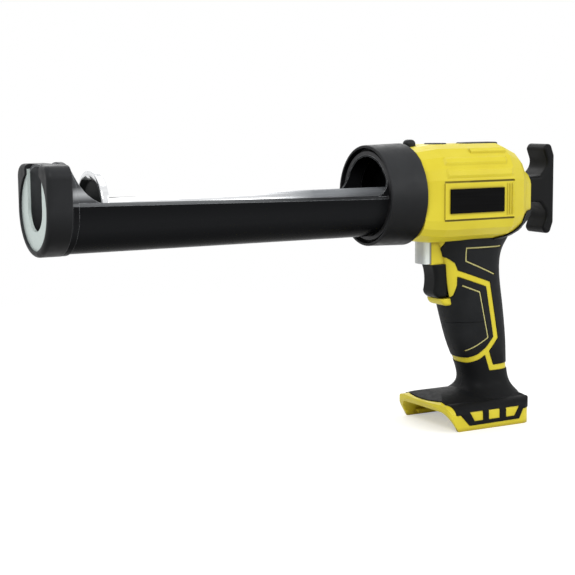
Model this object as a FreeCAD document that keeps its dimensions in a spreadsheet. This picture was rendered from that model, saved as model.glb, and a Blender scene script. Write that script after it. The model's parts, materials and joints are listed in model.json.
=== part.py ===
import FreeCAD, Part
import math
import os

import Sketcher
from FreeCAD import Placement, Rotation, Vector

# Cordless caulking tool. X runs along the push rod towards the pull handle, Z is up, and the
# origin is on the rod's axis in the plane of the collar's front rim. All sizes are millimetres.
SIZES = {
    # Clearances
    "running_gap": 0.3,
    "shaft_play": 0.03,
    "seat_fit": 0.05,
    "tooth_play": 0.12,
    # Whole tool
    "axis_height": 163.0,
    "stroke": 205.0,
    # Push rod, plunger and pull handle
    "rod_diameter": 11.0,
    "rack_flat": 1.0,
    "plunger_setback": 190.0,
    "plunger_diameter": 46.0,
    "plunger_thickness": 7.0,
    "plunger_dish": 2.5,
    "screw_diameter": 5.0,
    "handle_span": 64.0,
    "handle_width": 22.0,
    "handle_length": 24.3,
    "hub_height": 18.0,
    "handle_round": 2.0,
    "pin_diameter": 3.0,
    # Cradle
    "cradle_reach": 232.5,
    "tube_diameter": 54.8,
    "tube_wall": 1.2,
    "cut_front_height": 3.5,
    "cut_rear_height": 0.4,
    "cut_front_radius": 20.0,
    "cut_rear_radius": 12.5,
    "hem_diameter": 2.0,
    "bead_length": 4.2,
    "bead_height": 0.9,
    "cap_diameter": 56.8,
    "cap_length": 15.0,
    "cap_round": 3.0,
    "cap_top": 27.2,
    "cap_corner": 8.0,
    "lip_thickness": 1.5,
    "plate_opening": 49.2,
    "plate_thickness": 2.0,
    "slot_width": 26.0,
    "slot_depth": 4.5,
    "flange_setback": 1.5,
    "flange_wall": 2.75,
    "flange_length": 11.5,
    "flange_rim": 3.1,
    # Collar and nose
    "collar_length": 28.1,
    "collar_diameter": 69.4,
    "collar_taper": 0.8,
    "collar_wall": 2.3,
    "collar_step": 1.6,
    "mouth_depth": 5.0,
    "nose_wall": 4.4,
    "nose_plate": 4.0,
    "nose_screw": 4.0,
    "nose_screw_head": 7.0,
    # Barrel of the housing
    "barrel_length": 100.0,
    "barrel_height": 67.0,
    "barrel_width": 66.0,
    "barrel_wall": 2.4,
    "front_wall": 3.0,
    "rear_wall": 12.0,
    "bush_wall": 2.5,
    "panel_length": 58.0,
    "panel_height": 24.5,
    "panel_drop": 4.0,
    "panel_setback": 42.5,
    "panel_stand": 0.4,
    "groove": 1.2,
    "badge_length": 44.5,
    "badge_height": 16.4,
    "badge_thickness": 1.0,
    # Grip
    "grip_setback": 84.0,
    "grip_depth": 46.0,
    "grip_width": 33.4,
    "rubber": 1.6,
    "rubber_stand": 0.5,
    "grip_wall": 2.4,
    "line_width": 4.0,
    "thin_line": 0.9,
    "line_gap": 0.3,
    # Foot with the battery dock
    "foot_setback": 50.0,
    "foot_rake": 5.0,
    "foot_length": 69.0,
    "foot_width": 66.0,
    "foot_height": 23.5,
    "foot_fall": 5.4,
    "foot_bulge": 2.0,
    "foot_corner": 5.0,
    "foot_rear_corner": 9.0,
    "band_depth": 1.8,
    "foot_shoulder": 11.5,
    "dock_height": 13.5,
    "dock_wall": 2.5,
    "dock_rear": 7.0,
    "rail_height": 2.6,
    "rail_reach": 4.0,
    # Lamp column and trigger
    "column_setback": 43.5,
    "column_drop": 48.0,
    "column_width": 14.6,
    "lens_width": 13.6,
    "lens_depth": 5.8,
    "lens_height": 18.0,
    "lens_bulge": 1.4,
    "lens_round": 1.5,
    "trigger_setback": 50.5,
    "trigger_top": 49.6,
    "trigger_height": 23.6,
    "trigger_width": 16.4,
    "trigger_depth": 13.0,
    "trigger_travel": 6.0,
    "trigger_round": 2.6,
    "stem_diameter": 3.6,
    "chin_reach": 56.5,
    "chin_height": 5.1,
    "chin_width": 19.0,
    # Top controls
    "latch_setback": 2.8,
    "latch_length": 8.5,
    "latch_width": 8.5,
    "latch_base": 3.4,
    "latch_top": 37.0,
    "latch_travel": 2.0,
    "dial_setback": 57.0,
    "dial_diameter": 15.0,
    "dial_top": 34.2,
    "dial_thickness": 4.0,
    "dial_stem": 4.0,
    "sensor_width": 10.0,
    "sensor_height": 4.5,
    "button_setback": 77.5,
    "button_length": 29.5,
    "button_width": 14.0,
    "button_top": 34.3,
    "button_base": 2.2,
    "button_travel": 2.5,
    "lip_height": 2.0,
    "lip_reach": 1.5,
    "spring_room": 4.0,
    # Gear train
    "gear_module": 1.0,
    "pinion_teeth": 18,
    "reduction_teeth": 27,
    "output_teeth": 15,
    "pinion_width": 9.0,
    "gear_width": 6.0,
    "shaft_diameter": 6.0,
    "bearing_diameter": 11.0,
    "frame_plate": 3.0,
    # Planetary stage and motor
    "motor_setback": 90.5,
    "planet_module": 0.5,
    "sun_teeth": 12,
    "planet_teeth": 15,
    "planet_width": 7.0,
    "planet_pin": 2.4,
    "case_diameter": 25.2,
    "case_length": 22.0,
    "motor_diameter": 24.0,
    "motor_length": 31.0,
    "motor_wall": 1.2,
    "motor_shaft_diameter": 2.3,
    # Electrics and small springs
    "switch_depth": 7.5,
    "switch_height": 20.0,
    "board_thickness": 1.6,
    "wire_diameter": 1.8,
    "spring_wire": 0.6,
    "board_width": 20.0,
    "block_width": 28.0,
    "block_length": 17.0,
    "blade_pitch": 6.0,
    "boss_diameter": 9.0,
    "housing_screw": 3.0,
    "screw_seat": 7.0,
}

PRESSURE_ANGLE = math.radians(20)
GRIP_POWER = 2.6

doc = FreeCAD.newDocument("caulking_tool")
sheet = doc.addObject("Spreadsheet::Sheet", "dims")
for row, (alias, number) in enumerate(SIZES.items(), 1):
    sheet.set(f"A{row}", alias)
    sheet.set(f"B{row}", str(number))
    sheet.setAlias(f"B{row}", alias)
doc.recompute()


class Size:
    """A number together with the sheet expression that it comes from."""

    def __init__(self, number, text):
        self.number = float(number)
        self.text = text

    def __float__(self):
        return self.number

    def __add__(self, other):
        return Size(self.number + float(other), f"({self.text} + {words(other)})")

    def __radd__(self, other):
        return Size(float(other) + self.number, f"({words(other)} + {self.text})")

    def __sub__(self, other):
        return Size(self.number - float(other), f"({self.text} - {words(other)})")

    def __rsub__(self, other):
        return Size(float(other) - self.number, f"({words(other)} - {self.text})")

    def __mul__(self, other):
        return Size(self.number * float(other), f"({self.text} * {words(other)})")

    def __rmul__(self, other):
        return Size(float(other) * self.number, f"({words(other)} * {self.text})")

    def __truediv__(self, other):
        return Size(self.number / float(other), f"({self.text} / {words(other)})")

    def __neg__(self):
        return Size(-self.number, f"(0 - {self.text})")


def words(thing):
    """The expression text of a size or of a plain number."""
    return thing.text if isinstance(thing, Size) else f"({float(thing)!r})"


def root(square):
    return Size(math.sqrt(square.number), f"sqrt({square.text})")


class Sheet:
    """Gives each cell of the sheet as a Size."""

    def __getattr__(self, alias):
        return Size(getattr(sheet, alias), f"dims.{alias}")


S = Sheet()

# Places worked out from the driving sizes
rod_radius = S.rod_diameter / 2
tube_radius = S.tube_diameter / 2
tube_bore = tube_radius - S.tube_wall
cap_front = -S.cradle_reach
plate_front = cap_front + S.lip_thickness
tube_front = plate_front + S.plate_thickness
cap_rear = cap_front + S.cap_length
flange_radius = tube_radius + S.seat_fit + S.flange_wall
flange_end = S.flange_setback + S.flange_length
flange_step = flange_end - S.flange_rim
collar_radius = S.collar_diameter / 2
cavity_radius = collar_radius - S.collar_wall
nose_radius = cavity_radius - S.running_gap
shoulder_radius = flange_radius + S.running_gap
mouth_radius = shoulder_radius + S.collar_step
shoulder_end = flange_step - S.running_gap
nose_front = flange_end + S.running_gap
body_front = S.collar_length + S.running_gap
body_rear = body_front + S.barrel_length
bush_radius = rod_radius + S.shaft_play + S.bush_wall
barrel_top = S.barrel_height / 2
barrel_side = S.barrel_width / 2
hub_front = body_rear + S.running_gap * 2
handle_rear = hub_front + S.handle_length
rod_rear = handle_rear - S.hub_height / 2
plunger_rear = -S.plunger_setback
plunger_front = plunger_rear - S.plunger_thickness
ground = -S.axis_height
foot_top = ground + S.foot_height
skin = S.rubber + S.grip_wall

# Gear centres: the rack is cut in the rod's far side, and every gear axis is upright
rack_tip = rod_radius - S.rack_flat
rack_pitch = rack_tip - S.gear_module
pinion_y = rack_pitch + S.gear_module * S.pinion_teeth / 2 + S.tooth_play / 2
gear_span = S.gear_module * (S.reduction_teeth + S.output_teeth) / 2 + S.tooth_play / 2
pinion_x = S.motor_setback - root(gear_span * gear_span - pinion_y * pinion_y)
gear_top = -rod_radius - 1.5
gear_bottom = gear_top - S.gear_width
frame_floor = gear_bottom - 1.0
frame_base = frame_floor - S.frame_plate
frame_ceiling = rod_radius + 3.0
frame_top = frame_ceiling + S.frame_plate
frame_front = pinion_x - S.bearing_diameter / 2 - 4.0
frame_rear = S.motor_setback + S.case_diameter / 2
frame_near = -rod_radius - 9.0
frame_far = pinion_y + S.bearing_diameter / 2 + 3.0
planet_orbit = S.planet_module * (S.sun_teeth + S.planet_teeth) / 2
ring_teeth = S.sun_teeth + 2 * S.planet_teeth
carrier_top = frame_base - 1.0
carrier_base = carrier_top - 4.0
planet_top = carrier_base - 0.4
planet_base = planet_top - S.planet_width
case_base = frame_base - S.case_length
motor_base = case_base - S.motor_length
cap_depth = 4.0
switch_front = S.trigger_setback + S.trigger_depth + S.trigger_travel + 1.0
switch_top = -S.trigger_top - 3.0
trigger_low = -S.trigger_top - S.trigger_height
lens_rear = S.column_setback + S.lens_depth
lens_low = -S.column_drop - 0.8
lip_front = body_front + S.front_wall + 0.4
latch_front = body_front + S.latch_setback
latch_low = barrel_top - S.barrel_wall - S.latch_base
latch_shelf = latch_low - S.lip_height - 9.0
button_low = barrel_top - S.barrel_wall - S.button_base
button_rear = S.button_setback + S.button_length
button_middle = S.button_setback + S.button_length / 2
dial_low = S.dial_top - S.dial_thickness
sensor_low = dial_low - 8.0
board_front = S.grip_setback
board_middle = board_front + S.board_width / 2
board_top = motor_base - cap_depth - 8.0
board_low = foot_top + 20.0
foot_tip = S.foot_setback - S.foot_rake
foot_heel = S.foot_setback + S.foot_rake
block_front = board_front + 2.0
block_low = ground + 5.0
block_top = ground + S.dock_height + 5.0

# Rotations that lay a primitive's own Z axis along X or Y
TURN = {
    "X": Rotation(Vector(0, 1, 0), 90),
    "Y": Rotation(Vector(1, 0, 0), -90),
    "Z": Rotation(),
}
NODES = []


def node(thing, label):
    """Names an object as a finished piece of the tool."""
    thing.Label = label
    NODES.append(thing)
    return thing


def tie(thing, **sizes):
    """Binds properties of an object to the sheet."""
    for name, size in sizes.items():
        thing.setExpression(name, words(size))
    return thing


def put(thing, at, axis="Z"):
    """Places a primitive, with each coordinate bound to the sheet."""
    thing.Placement = Placement(Vector(*at), TURN[axis])
    for letter, size in zip("xyz", at):
        thing.setExpression(f"Placement.Base.{letter}", words(size))
    return thing


def cylinder(name, radius, length, at, axis="Z"):
    thing = doc.addObject("Part::Cylinder", name)
    return put(tie(thing, Radius=radius, Height=length), at, axis)


def box(name, low, high):
    """A block between two opposite corners."""
    thing = doc.addObject("Part::Box", name)
    sides = [b - a for a, b in zip(low, high)]
    return put(tie(thing, Length=sides[0], Width=sides[1], Height=sides[2]), low)


def cut(name, base, tool):
    thing = doc.addObject("Part::Cut", name)
    thing.Base = base
    thing.Tool = tool
    return thing


def fuse(name, pieces):
    thing = doc.addObject("Part::MultiFuse", name)
    thing.Shapes = pieces
    return thing


def group(name, pieces):
    thing = doc.addObject("Part::Compound", name)
    thing.Links = pieces
    return thing


def solid(name, shape, place=None):
    """Keeps a shape made from the sheet's sizes as an object of the document."""
    thing = doc.addObject("Part::Feature", name)
    thing.Shape = shape
    if place is not None:
        thing.Placement = place
    return thing


def sleeve(name, inner, outer, length, at, axis="Z"):
    wall = cylinder(f"{name}_wall", outer, length, at, axis)
    bore = cylinder(f"{name}_bore", inner, length, at, axis)
    return cut(name, wall, bore)


def new_body(label, finished=True):
    body = doc.addObject("PartDesign::Body", label)
    return node(body, label) if finished else body


def sketch_on(body, role, name, lift=None):
    """A sketch on one of the body's origin planes, lifted along the plane's normal."""
    sketch = body.newObject("Sketcher::SketchObject", name)
    plane = next(item for item in body.Origin.OriginFeatures if item.Role == role)
    sketch.AttachmentSupport = [(plane, "")]
    sketch.MapMode = "FlatFace"
    if lift is not None:
        sketch.setExpression("AttachmentOffset.Base.z", words(lift))
    return sketch


def pin_point(sketch, geometry, end, x, y):
    for kind, size in (("DistanceX", x), ("DistanceY", y)):
        rule = sketch.addConstraint(Sketcher.Constraint(kind, -1, 1, geometry, end, float(size)))
        sketch.setExpression(f"Constraints[{rule}]", words(size))


def outline(body, role, points, name, lift=None):
    """A closed outline of straight lines whose corners are bound to the sheet."""
    sketch = sketch_on(body, role, name, lift)
    corners = [Vector(float(x), float(y), 0) for x, y in points]
    count = len(points)
    for index in range(count):
        sketch.addGeometry(Part.LineSegment(corners[index], corners[(index + 1) % count]), False)
    for index in range(count):
        sketch.addConstraint(Sketcher.Constraint("Coincident", index, 2, (index + 1) % count, 1))
    for index, (x, y) in enumerate(points):
        pin_point(sketch, index, 1, x, y)
    return sketch


def disc(body, role, radius, name, lift=None):
    """A circle about the plane's origin."""
    sketch = sketch_on(body, role, name, lift)
    sketch.addGeometry(Part.Circle(Vector(), Vector(0, 0, 1), float(radius)), False)
    sketch.addConstraint(Sketcher.Constraint("Coincident", 0, 3, -1, 1))
    rule = sketch.addConstraint(Sketcher.Constraint("Radius", 0, float(radius)))
    sketch.setExpression(f"Constraints[{rule}]", words(radius))
    return sketch


def feature(body, kind, profile, name, **sizes):
    thing = body.newObject(f"PartDesign::{kind}", name)
    thing.Profile = profile
    tie(thing, **sizes)
    doc.recompute()
    return thing


def turned(label, points, finished=True):
    """A body turned about the rod's axis."""
    body = new_body(label, finished)
    profile = outline(body, "XY_Plane", points, f"{label}_profile")
    turn = body.newObject("PartDesign::Revolution", f"{label}_turned")
    turn.Profile = profile
    turn.ReferenceAxis = (profile, ["H_Axis"])
    turn.Angle = 360
    doc.recompute()
    return body


def rim(x, radius):
    """Picks the round edge at a place along the rod's axis."""
    def test(edge):
        curve = edge.Curve
        if not isinstance(curve, Part.Circle):
            return False
        return abs(curve.Center.x - float(x)) < 0.01 and abs(curve.Radius - float(radius)) < 0.01
    return test


def round_off(body, radius, *tests):
    """Rounds the picked edges of a body."""
    base = body.Tip
    edges = enumerate(base.Shape.Edges, 1)
    names = [f"Edge{index}" for index, edge in edges if any(test(edge) for test in tests)]
    fillet = body.newObject("PartDesign::Fillet", f"{body.Label}_round")
    fillet.Base = (base, names)
    fillet.setExpression("Radius", words(radius))
    doc.recompute()
    return fillet


def cut_slot(body, depth):
    """Cuts the U-shaped nozzle slot, open upwards, from the cradle's front."""
    half = S.slot_width / 2
    sides = ((-half, 0), (half, 0), (half, S.cap_diameter), (-half, S.cap_diameter))
    lift = cap_front + depth
    for shape in ("sides", "round"):
        name = f"{body.Label}_slot_{shape}"
        if shape == "sides":
            profile = outline(body, "YZ_Plane", sides, f"{name}_outline", lift)
        else:
            profile = disc(body, "YZ_Plane", half, f"{name}_outline", lift)
        feature(body, "Pocket", profile, name, Length=depth + 1.0)


def gear_face(teeth, module, tip_share=1.0, root_share=1.25, play=None):
    """The face of a spur gear about the origin, with its first tooth along X."""
    teeth = round(float(teeth))
    module = float(module)
    play = float(S.tooth_play if play is None else play)
    pitch = module * teeth / 2
    base = pitch * math.cos(PRESSURE_ANGLE)
    tip = pitch + tip_share * module
    bottom = pitch - root_share * module
    start = max(base, bottom)
    half_tooth = math.pi / (2 * teeth) - play / (2 * pitch)
    steps = 5
    flank = []
    for step in range(steps):
        radius = start + (tip - start) * step / (steps - 1)
        turn = math.acos(min(1.0, base / radius))
        spread = math.tan(PRESSURE_ANGLE) - PRESSURE_ANGLE - math.tan(turn) + turn
        flank.append((radius, half_tooth + spread))
    if bottom < base:
        flank.insert(0, (bottom, flank[0][1]))
    points = []
    for tooth in range(teeth):
        centre = 2 * math.pi * tooth / teeth
        for radius, spread in flank:
            points.append(polar(radius, centre - spread))
        for radius, spread in reversed(flank):
            points.append(polar(radius, centre + spread))
    return Part.Face(Part.makePolygon(points + points[:1]))


def polar(radius, angle):
    return Vector(radius * math.cos(angle), radius * math.sin(angle), 0)


def spur_gear(label, teeth, module, bore, width, at, first_tooth, play=None):
    """A spur gear on an upright axis, its first tooth at the given angle in degrees."""
    wheel = gear_face(teeth, module, play=play).extrude(Vector(0, 0, width))
    wheel = wheel.cut(Part.makeCylinder(bore, width))
    place = Placement(Vector(*at), Rotation(Vector(0, 0, 1), first_tooth))
    return node(solid(label, wheel, place), label)


def prism(points, low, high):
    """An outline in X and Z pushed through from one Y to another."""
    corners = [Vector(x, low, z) for x, z in points]
    return Part.Face(Part.makePolygon(corners + corners[:1])).extrude(Vector(0, float(high - low), 0))


def smooth_face(corners, y):
    """A face in X and Z at one Y, its corners rounded: each corner is x, z and a radius."""
    edges = []
    ends = []
    count = len(corners)
    for index, (x, z, radius) in enumerate(corners):
        here = Vector(x, y, z)
        before = Vector(corners[index - 1][0], y, corners[index - 1][1]) - here
        after = Vector(corners[(index + 1) % count][0], y, corners[(index + 1) % count][1]) - here
        before.normalize()
        after.normalize()
        half = before.getAngle(after) / 2
        middle = before + after
        middle.normalize()
        reach = radius / math.tan(half)
        start = here + before * reach
        end = here + after * reach
        edges.append(Part.Arc(start, here + middle * (radius / math.sin(half) - radius), end).toShape())
        ends.append((start, end))
    for index in range(count):
        edges.append(Part.LineSegment(ends[index - 1][1], ends[index][0]).toShape())
    return Part.Face(Part.Wire(Part.__sortEdges__(edges)))


def coil(label, radius, length, turns, at, direction):
    """A compression spring with its axis through a point."""
    path = Part.makeHelix(float(length) / turns, length, radius)
    wire = Part.Circle(Vector(radius, 0, 0), Vector(0, 1, 0), float(S.spring_wire) / 2).toShape()
    spring = Part.Wire(path).makePipeShell([Part.Wire(wire)], True, True)
    place = Placement(Vector(*at), Rotation(Vector(0, 0, 1), Vector(*direction)))
    return node(solid(label, spring, place), label)


# Rod group: push rod with its rack, plunger, pull handle and what holds them on
def rack_teeth():
    """The gaps between the rack's teeth and the flat that they are cut from."""
    module = float(S.gear_module)
    pitch = math.pi * module
    slope = math.tan(PRESSURE_ANGLE)
    depth = module * 1.25
    tip_half = pitch / 4 + float(S.tooth_play) / 2 + module * slope
    bottom_half = pitch / 4 + float(S.tooth_play) / 2 - depth * slope
    margin = 4
    behind = margin
    ahead = math.ceil(float(S.stroke) / pitch) + margin
    top = float(rack_tip)
    bottom = float(rack_pitch) - depth
    rear = float(pinion_x) + behind * pitch + tip_half
    front = float(pinion_x) - ahead * pitch - tip_half
    points = [(rear, float(rod_radius) + 1), (rear, top)]
    for index in range(behind, -ahead - 1, -1):
        centre = float(pinion_x) + index * pitch
        points += [(centre + tip_half, top), (centre + bottom_half, bottom)]
        points += [(centre - bottom_half, bottom), (centre - tip_half, top)]
    points += [(front, float(rod_radius) + 1)]
    kept = [points[0]] + [b for a, b in zip(points, points[1:]) if a != b]
    corners = [Vector(x, y, -rod_radius.number - 1) for x, y in kept]
    comb = Part.Face(Part.makePolygon(corners + corners[:1]))
    return solid("rack_gaps", comb.extrude(Vector(0, 0, float(S.rod_diameter) + 2)))


def make_rod():
    length = rod_rear - plunger_rear
    bar = cylinder("rod_bar", rod_radius, length, (plunger_rear, 0, 0), "X")
    thread = cylinder("rod_thread", S.screw_diameter / 2, 12.0, (plunger_rear, 0, 0), "X")
    pin_x = hub_front + S.hub_height / 2
    pin_hole = cylinder("rod_pin_hole", S.pin_diameter / 2, S.rod_diameter, (pin_x, -rod_radius, 0), "Y")
    waste = fuse("rod_waste", [rack_teeth(), thread, pin_hole])
    node(cut("rack_rod", bar, waste), "rack_rod")
    pin_length = S.handle_width - 4.0
    pin = cylinder("handle_pin", S.pin_diameter / 2, pin_length, (pin_x, -pin_length / 2, 0), "Y")
    node(pin, "handle_pin")


def make_plunger():
    radius = S.plunger_diameter / 2
    bore = S.screw_diameter / 2
    dish = plunger_front + S.plunger_dish
    rim_rear = plunger_rear - 2.0
    points = (
        (plunger_rear, bore),
        (plunger_rear, radius * 0.4),
        (rim_rear, radius * 0.9),
        (rim_rear, radius),
        (plunger_front, radius),
        (plunger_front, radius * 0.86),
        (dish, radius * 0.7),
        (dish, bore),
    )
    body = turned("plunger_disc", points)
    round_off(body, S.plunger_thickness / 7, rim(plunger_front, radius), rim(rim_rear, radius))
    head = cylinder("plunger_screw_head", S.screw_diameter, S.plunger_dish * 0.8, (dish, 0, 0), "X")
    head.setExpression("Placement.Base.x", words(dish - S.plunger_dish * 0.8))
    shank_length = plunger_rear - dish + 12.0
    shank = cylinder("plunger_screw_shank", bore, shank_length, (dish, 0, 0), "X")
    node(fuse("plunger_screw", [head, shank]), "plunger_screw")


def make_pull_handle():
    """A T with finger scoops in the front of each wing, rounded all over."""
    half = float(S.handle_span) / 2
    hub = float(S.hub_height) / 2
    front = float(hub_front)
    rear = float(handle_rear)
    wide = float(S.handle_width) / 2
    wing = [
        (front, hub, 0.6),
        (rear - 12.4, hub, 4.0),
        (rear - 5.0, half * 0.55, 8.0),
        (rear - 9.4, half - 3.5, 3.0),
        (rear - 7.0, half, 3.0),
        (rear - 3.0, half, 3.0),
        (rear, half - 8.0, 4.0),
    ]
    corners = wing + [(x, -z, radius) for x, z, radius in reversed(wing)]
    block = smooth_face(corners, -wide).extrude(Vector(0, 2 * wide, 0))
    rounded_edges = [e for e in block.Edges if abs(abs(e.CenterOfMass.y) - wide) < 0.01]
    block = block.makeFillet(S.handle_round, rounded_edges)
    bore = Part.makeCylinder(rod_radius, rod_rear - hub_front, Vector(hub_front, 0, 0), Vector(1, 0, 0))
    pin_x = hub_front + S.hub_height / 2
    pin_length = S.handle_width - 4.0
    pin_start = Vector(pin_x, -pin_length / 2, 0)
    pin = Part.makeCylinder(S.pin_diameter / 2, pin_length, pin_start, Vector(0, 1, 0))
    node(solid("pull_handle", block.cut([bore, pin])), "pull_handle")


# Cradle group
def cap_shape(bore):
    """The front cap: round below, upright and flat on top, with the nozzle slot and the tube's seat."""
    half = float(S.cap_diameter) / 2
    top = float(S.cap_top)
    corner = float(S.cap_corner)
    bend = corner * (1 - math.sqrt(0.5))
    front = float(cap_front)

    def at(y, z):
        return Vector(front, y, z)

    edges = [
        Part.Arc(at(-half, 0), at(0, -half), at(half, 0)).toShape(),
        Part.LineSegment(at(half, 0), at(half, top - corner)).toShape(),
        Part.Arc(at(half, top - corner), at(half - bend, top - bend), at(half - corner, top)).toShape(),
        Part.LineSegment(at(half - corner, top), at(corner - half, top)).toShape(),
        Part.Arc(at(corner - half, top), at(bend - half, top - bend), at(-half, top - corner)).toShape(),
        Part.LineSegment(at(-half, top - corner), at(-half, 0)).toShape(),
    ]
    block = Part.Face(Part.Wire(edges)).extrude(Vector(float(S.cap_length), 0, 0))
    rims = [e for e in block.Edges if abs(e.CenterOfMass.x - front) < 0.01]
    block = block.makeFillet(float(S.cap_round), rims)
    along = Vector(1, 0, 0)
    slot = float(S.slot_width) / 2
    depth = float(S.slot_depth)
    return block.cut([
        Part.makeCylinder(S.plate_opening / 2, S.cap_length, Vector(front - 1, 0, 0), along),
        Part.makeCylinder(bore, S.cap_length, Vector(plate_front, 0, 0), along),
        Part.makeCylinder(slot, depth + 1, Vector(front - 1, 0, 0), along),
        box_shape((front - 1, -slot, 0), (front + depth, slot, top + 1)),
    ])


def make_cradle():
    length = flange_end - tube_front
    wall = sleeve("tube_sleeve", tube_bore, tube_radius, length, (tube_front, 0, 0), "X")
    along = Vector(1, 0, 0)
    bead_start = Vector(cap_rear, 0, 0)
    bead = Part.makeCylinder(tube_radius + S.bead_height, S.bead_length, bead_start, along)
    bead_rims = [e for e in bead.Edges if isinstance(e.Curve, Part.Circle)]
    bead = bead.makeFillet(float(S.bead_height) * 0.8, bead_rims)
    bead = bead.cut(Part.makeCylinder(tube_bore, S.bead_length, bead_start, along))
    front = cap_rear + S.bead_length + 0.4
    rear = S.flange_setback
    low_front = float(S.cut_front_height)
    low_rear = float(S.cut_rear_height)
    high = float(tube_radius) + 2
    r_front = float(S.cut_front_radius)
    r_rear = float(S.cut_rear_radius)
    a, b = float(front), float(rear)
    bend = 1 - math.sqrt(0.5)
    edges = [
        line_xz((a, high), (a, low_front + r_front)),
        arc_xz(
            (a, low_front + r_front),
            (a + r_front * bend, low_front + r_front * bend),
            (a + r_front, low_front),
        ),
        line_xz((a + r_front, low_front), (b - r_rear, low_rear)),
        arc_xz((b - r_rear, low_rear), (b - r_rear * bend, low_rear + r_rear * bend), (b, low_rear + r_rear)),
        line_xz((b, low_rear + r_rear), (b, high)),
        line_xz((b, high), (a, high)),
    ]
    opening = Part.Face(Part.Wire(edges)).extrude(Vector(0, float(S.tube_diameter) + 4, 0))
    opening.translate(Vector(0, -float(tube_radius) - 2, 0))
    trough = cut("tube_trough", wall, solid("tube_opening", opening))
    hems = []
    hem_y = float(tube_radius - S.tube_wall / 2)
    slope = (low_rear - low_front) / (b - r_rear - a - r_front)
    hem_start = float(cap_rear) + 0.2
    hem_length = b - 0.2 - hem_start
    for side in (-1, 1):
        place = Vector(hem_start, hem_y * side, low_front + slope * (hem_start - a - r_front))
        hem = Part.makeCylinder(S.hem_diameter / 2, hem_length, place, Vector(1, 0, slope))
        hems.append(solid("tube_hem", hem))
    node(fuse("cradle_tube", [trough, solid("tube_bead", bead)] + hems), "cradle_tube")

    bore = tube_radius + S.seat_fit
    rim_radius = nose_radius
    points = (
        (S.flange_setback, bore),
        (S.flange_setback, flange_radius),
        (flange_step, flange_radius),
        (flange_step, rim_radius),
        (flange_end, rim_radius),
        (flange_end, bore),
    )
    body = turned("cradle_flange", points)
    round_off(body, S.flange_wall / 5, rim(S.flange_setback, flange_radius))

    node(solid("front_cap", cap_shape(bore)), "front_cap")

    body = new_body("front_plate")
    profile = disc(body, "YZ_Plane", tube_radius, "front_plate_profile", plate_front)
    feature(body, "Pad", profile, "front_plate_disc", Length=S.plate_thickness)
    cut_slot(body, S.slot_depth)


# Collar and nose
def make_collar():
    front_radius = collar_radius - S.collar_taper
    points = (
        (0, mouth_radius),
        (0, front_radius),
        (S.collar_length, collar_radius),
        (S.collar_length, cavity_radius),
        (shoulder_end, cavity_radius),
        (shoulder_end, shoulder_radius),
        (S.mouth_depth, shoulder_radius),
        (S.mouth_depth, mouth_radius),
    )
    body = turned("lock_collar", points)
    round_off(body, S.collar_wall * 0.35, rim(0, front_radius), rim(S.collar_length, collar_radius))

    bore = bush_radius + S.seat_fit
    cup = nose_radius - S.nose_wall
    plate = body_front - S.nose_plate
    points = (
        (nose_front, cup),
        (nose_front, nose_radius),
        (body_front, nose_radius),
        (body_front, bore),
        (plate, bore),
        (plate, cup),
    )
    body = turned("nose_turning", points, finished=False)
    screws = []
    shank = S.nose_screw / 2
    head_radius = S.nose_screw_head / 2
    holes = []
    orbit = (nose_radius - S.nose_wall) * 0.75
    reach = orbit * math.sqrt(0.5)
    head = S.nose_plate * 0.55
    for side_y in (-1, 1):
        for side_z in (-1, 1):
            place = (plate, reach * side_y, reach * side_z)
            seat = (plate + head, reach * side_y, reach * side_z)
            length = S.nose_plate - head + S.front_wall
            holes.append(cylinder("nose_head_hole", head_radius + 0.1, head, place, "X"))
            holes.append(cylinder("nose_shank_hole", shank, length, seat, "X"))
            screw_head = cylinder("nose_screw_head", head_radius, head, place, "X")
            screw_shank = cylinder("nose_screw_shank", shank, length, seat, "X")
            screws.append(fuse("nose_screw", [screw_head, screw_shank]))
    tools = fuse("nose_holes", holes)
    node(cut("nose_ring_drilled", body, tools), "nose_ring")
    node(group("nose_screws", screws), "nose_screws")
    return tools


def make_bushes():
    inner = rod_radius + S.shaft_play
    front = sleeve("front_bush", inner, bush_radius, S.nose_plate + S.front_wall + 2.0,
                   (body_front - S.nose_plate, 0, 0), "X")
    node(front, "front_bush")
    rear = sleeve("rear_bush", inner, bush_radius, S.rear_wall, (body_rear - S.rear_wall, 0, 0), "X")
    node(rear, "rear_bush")


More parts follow.
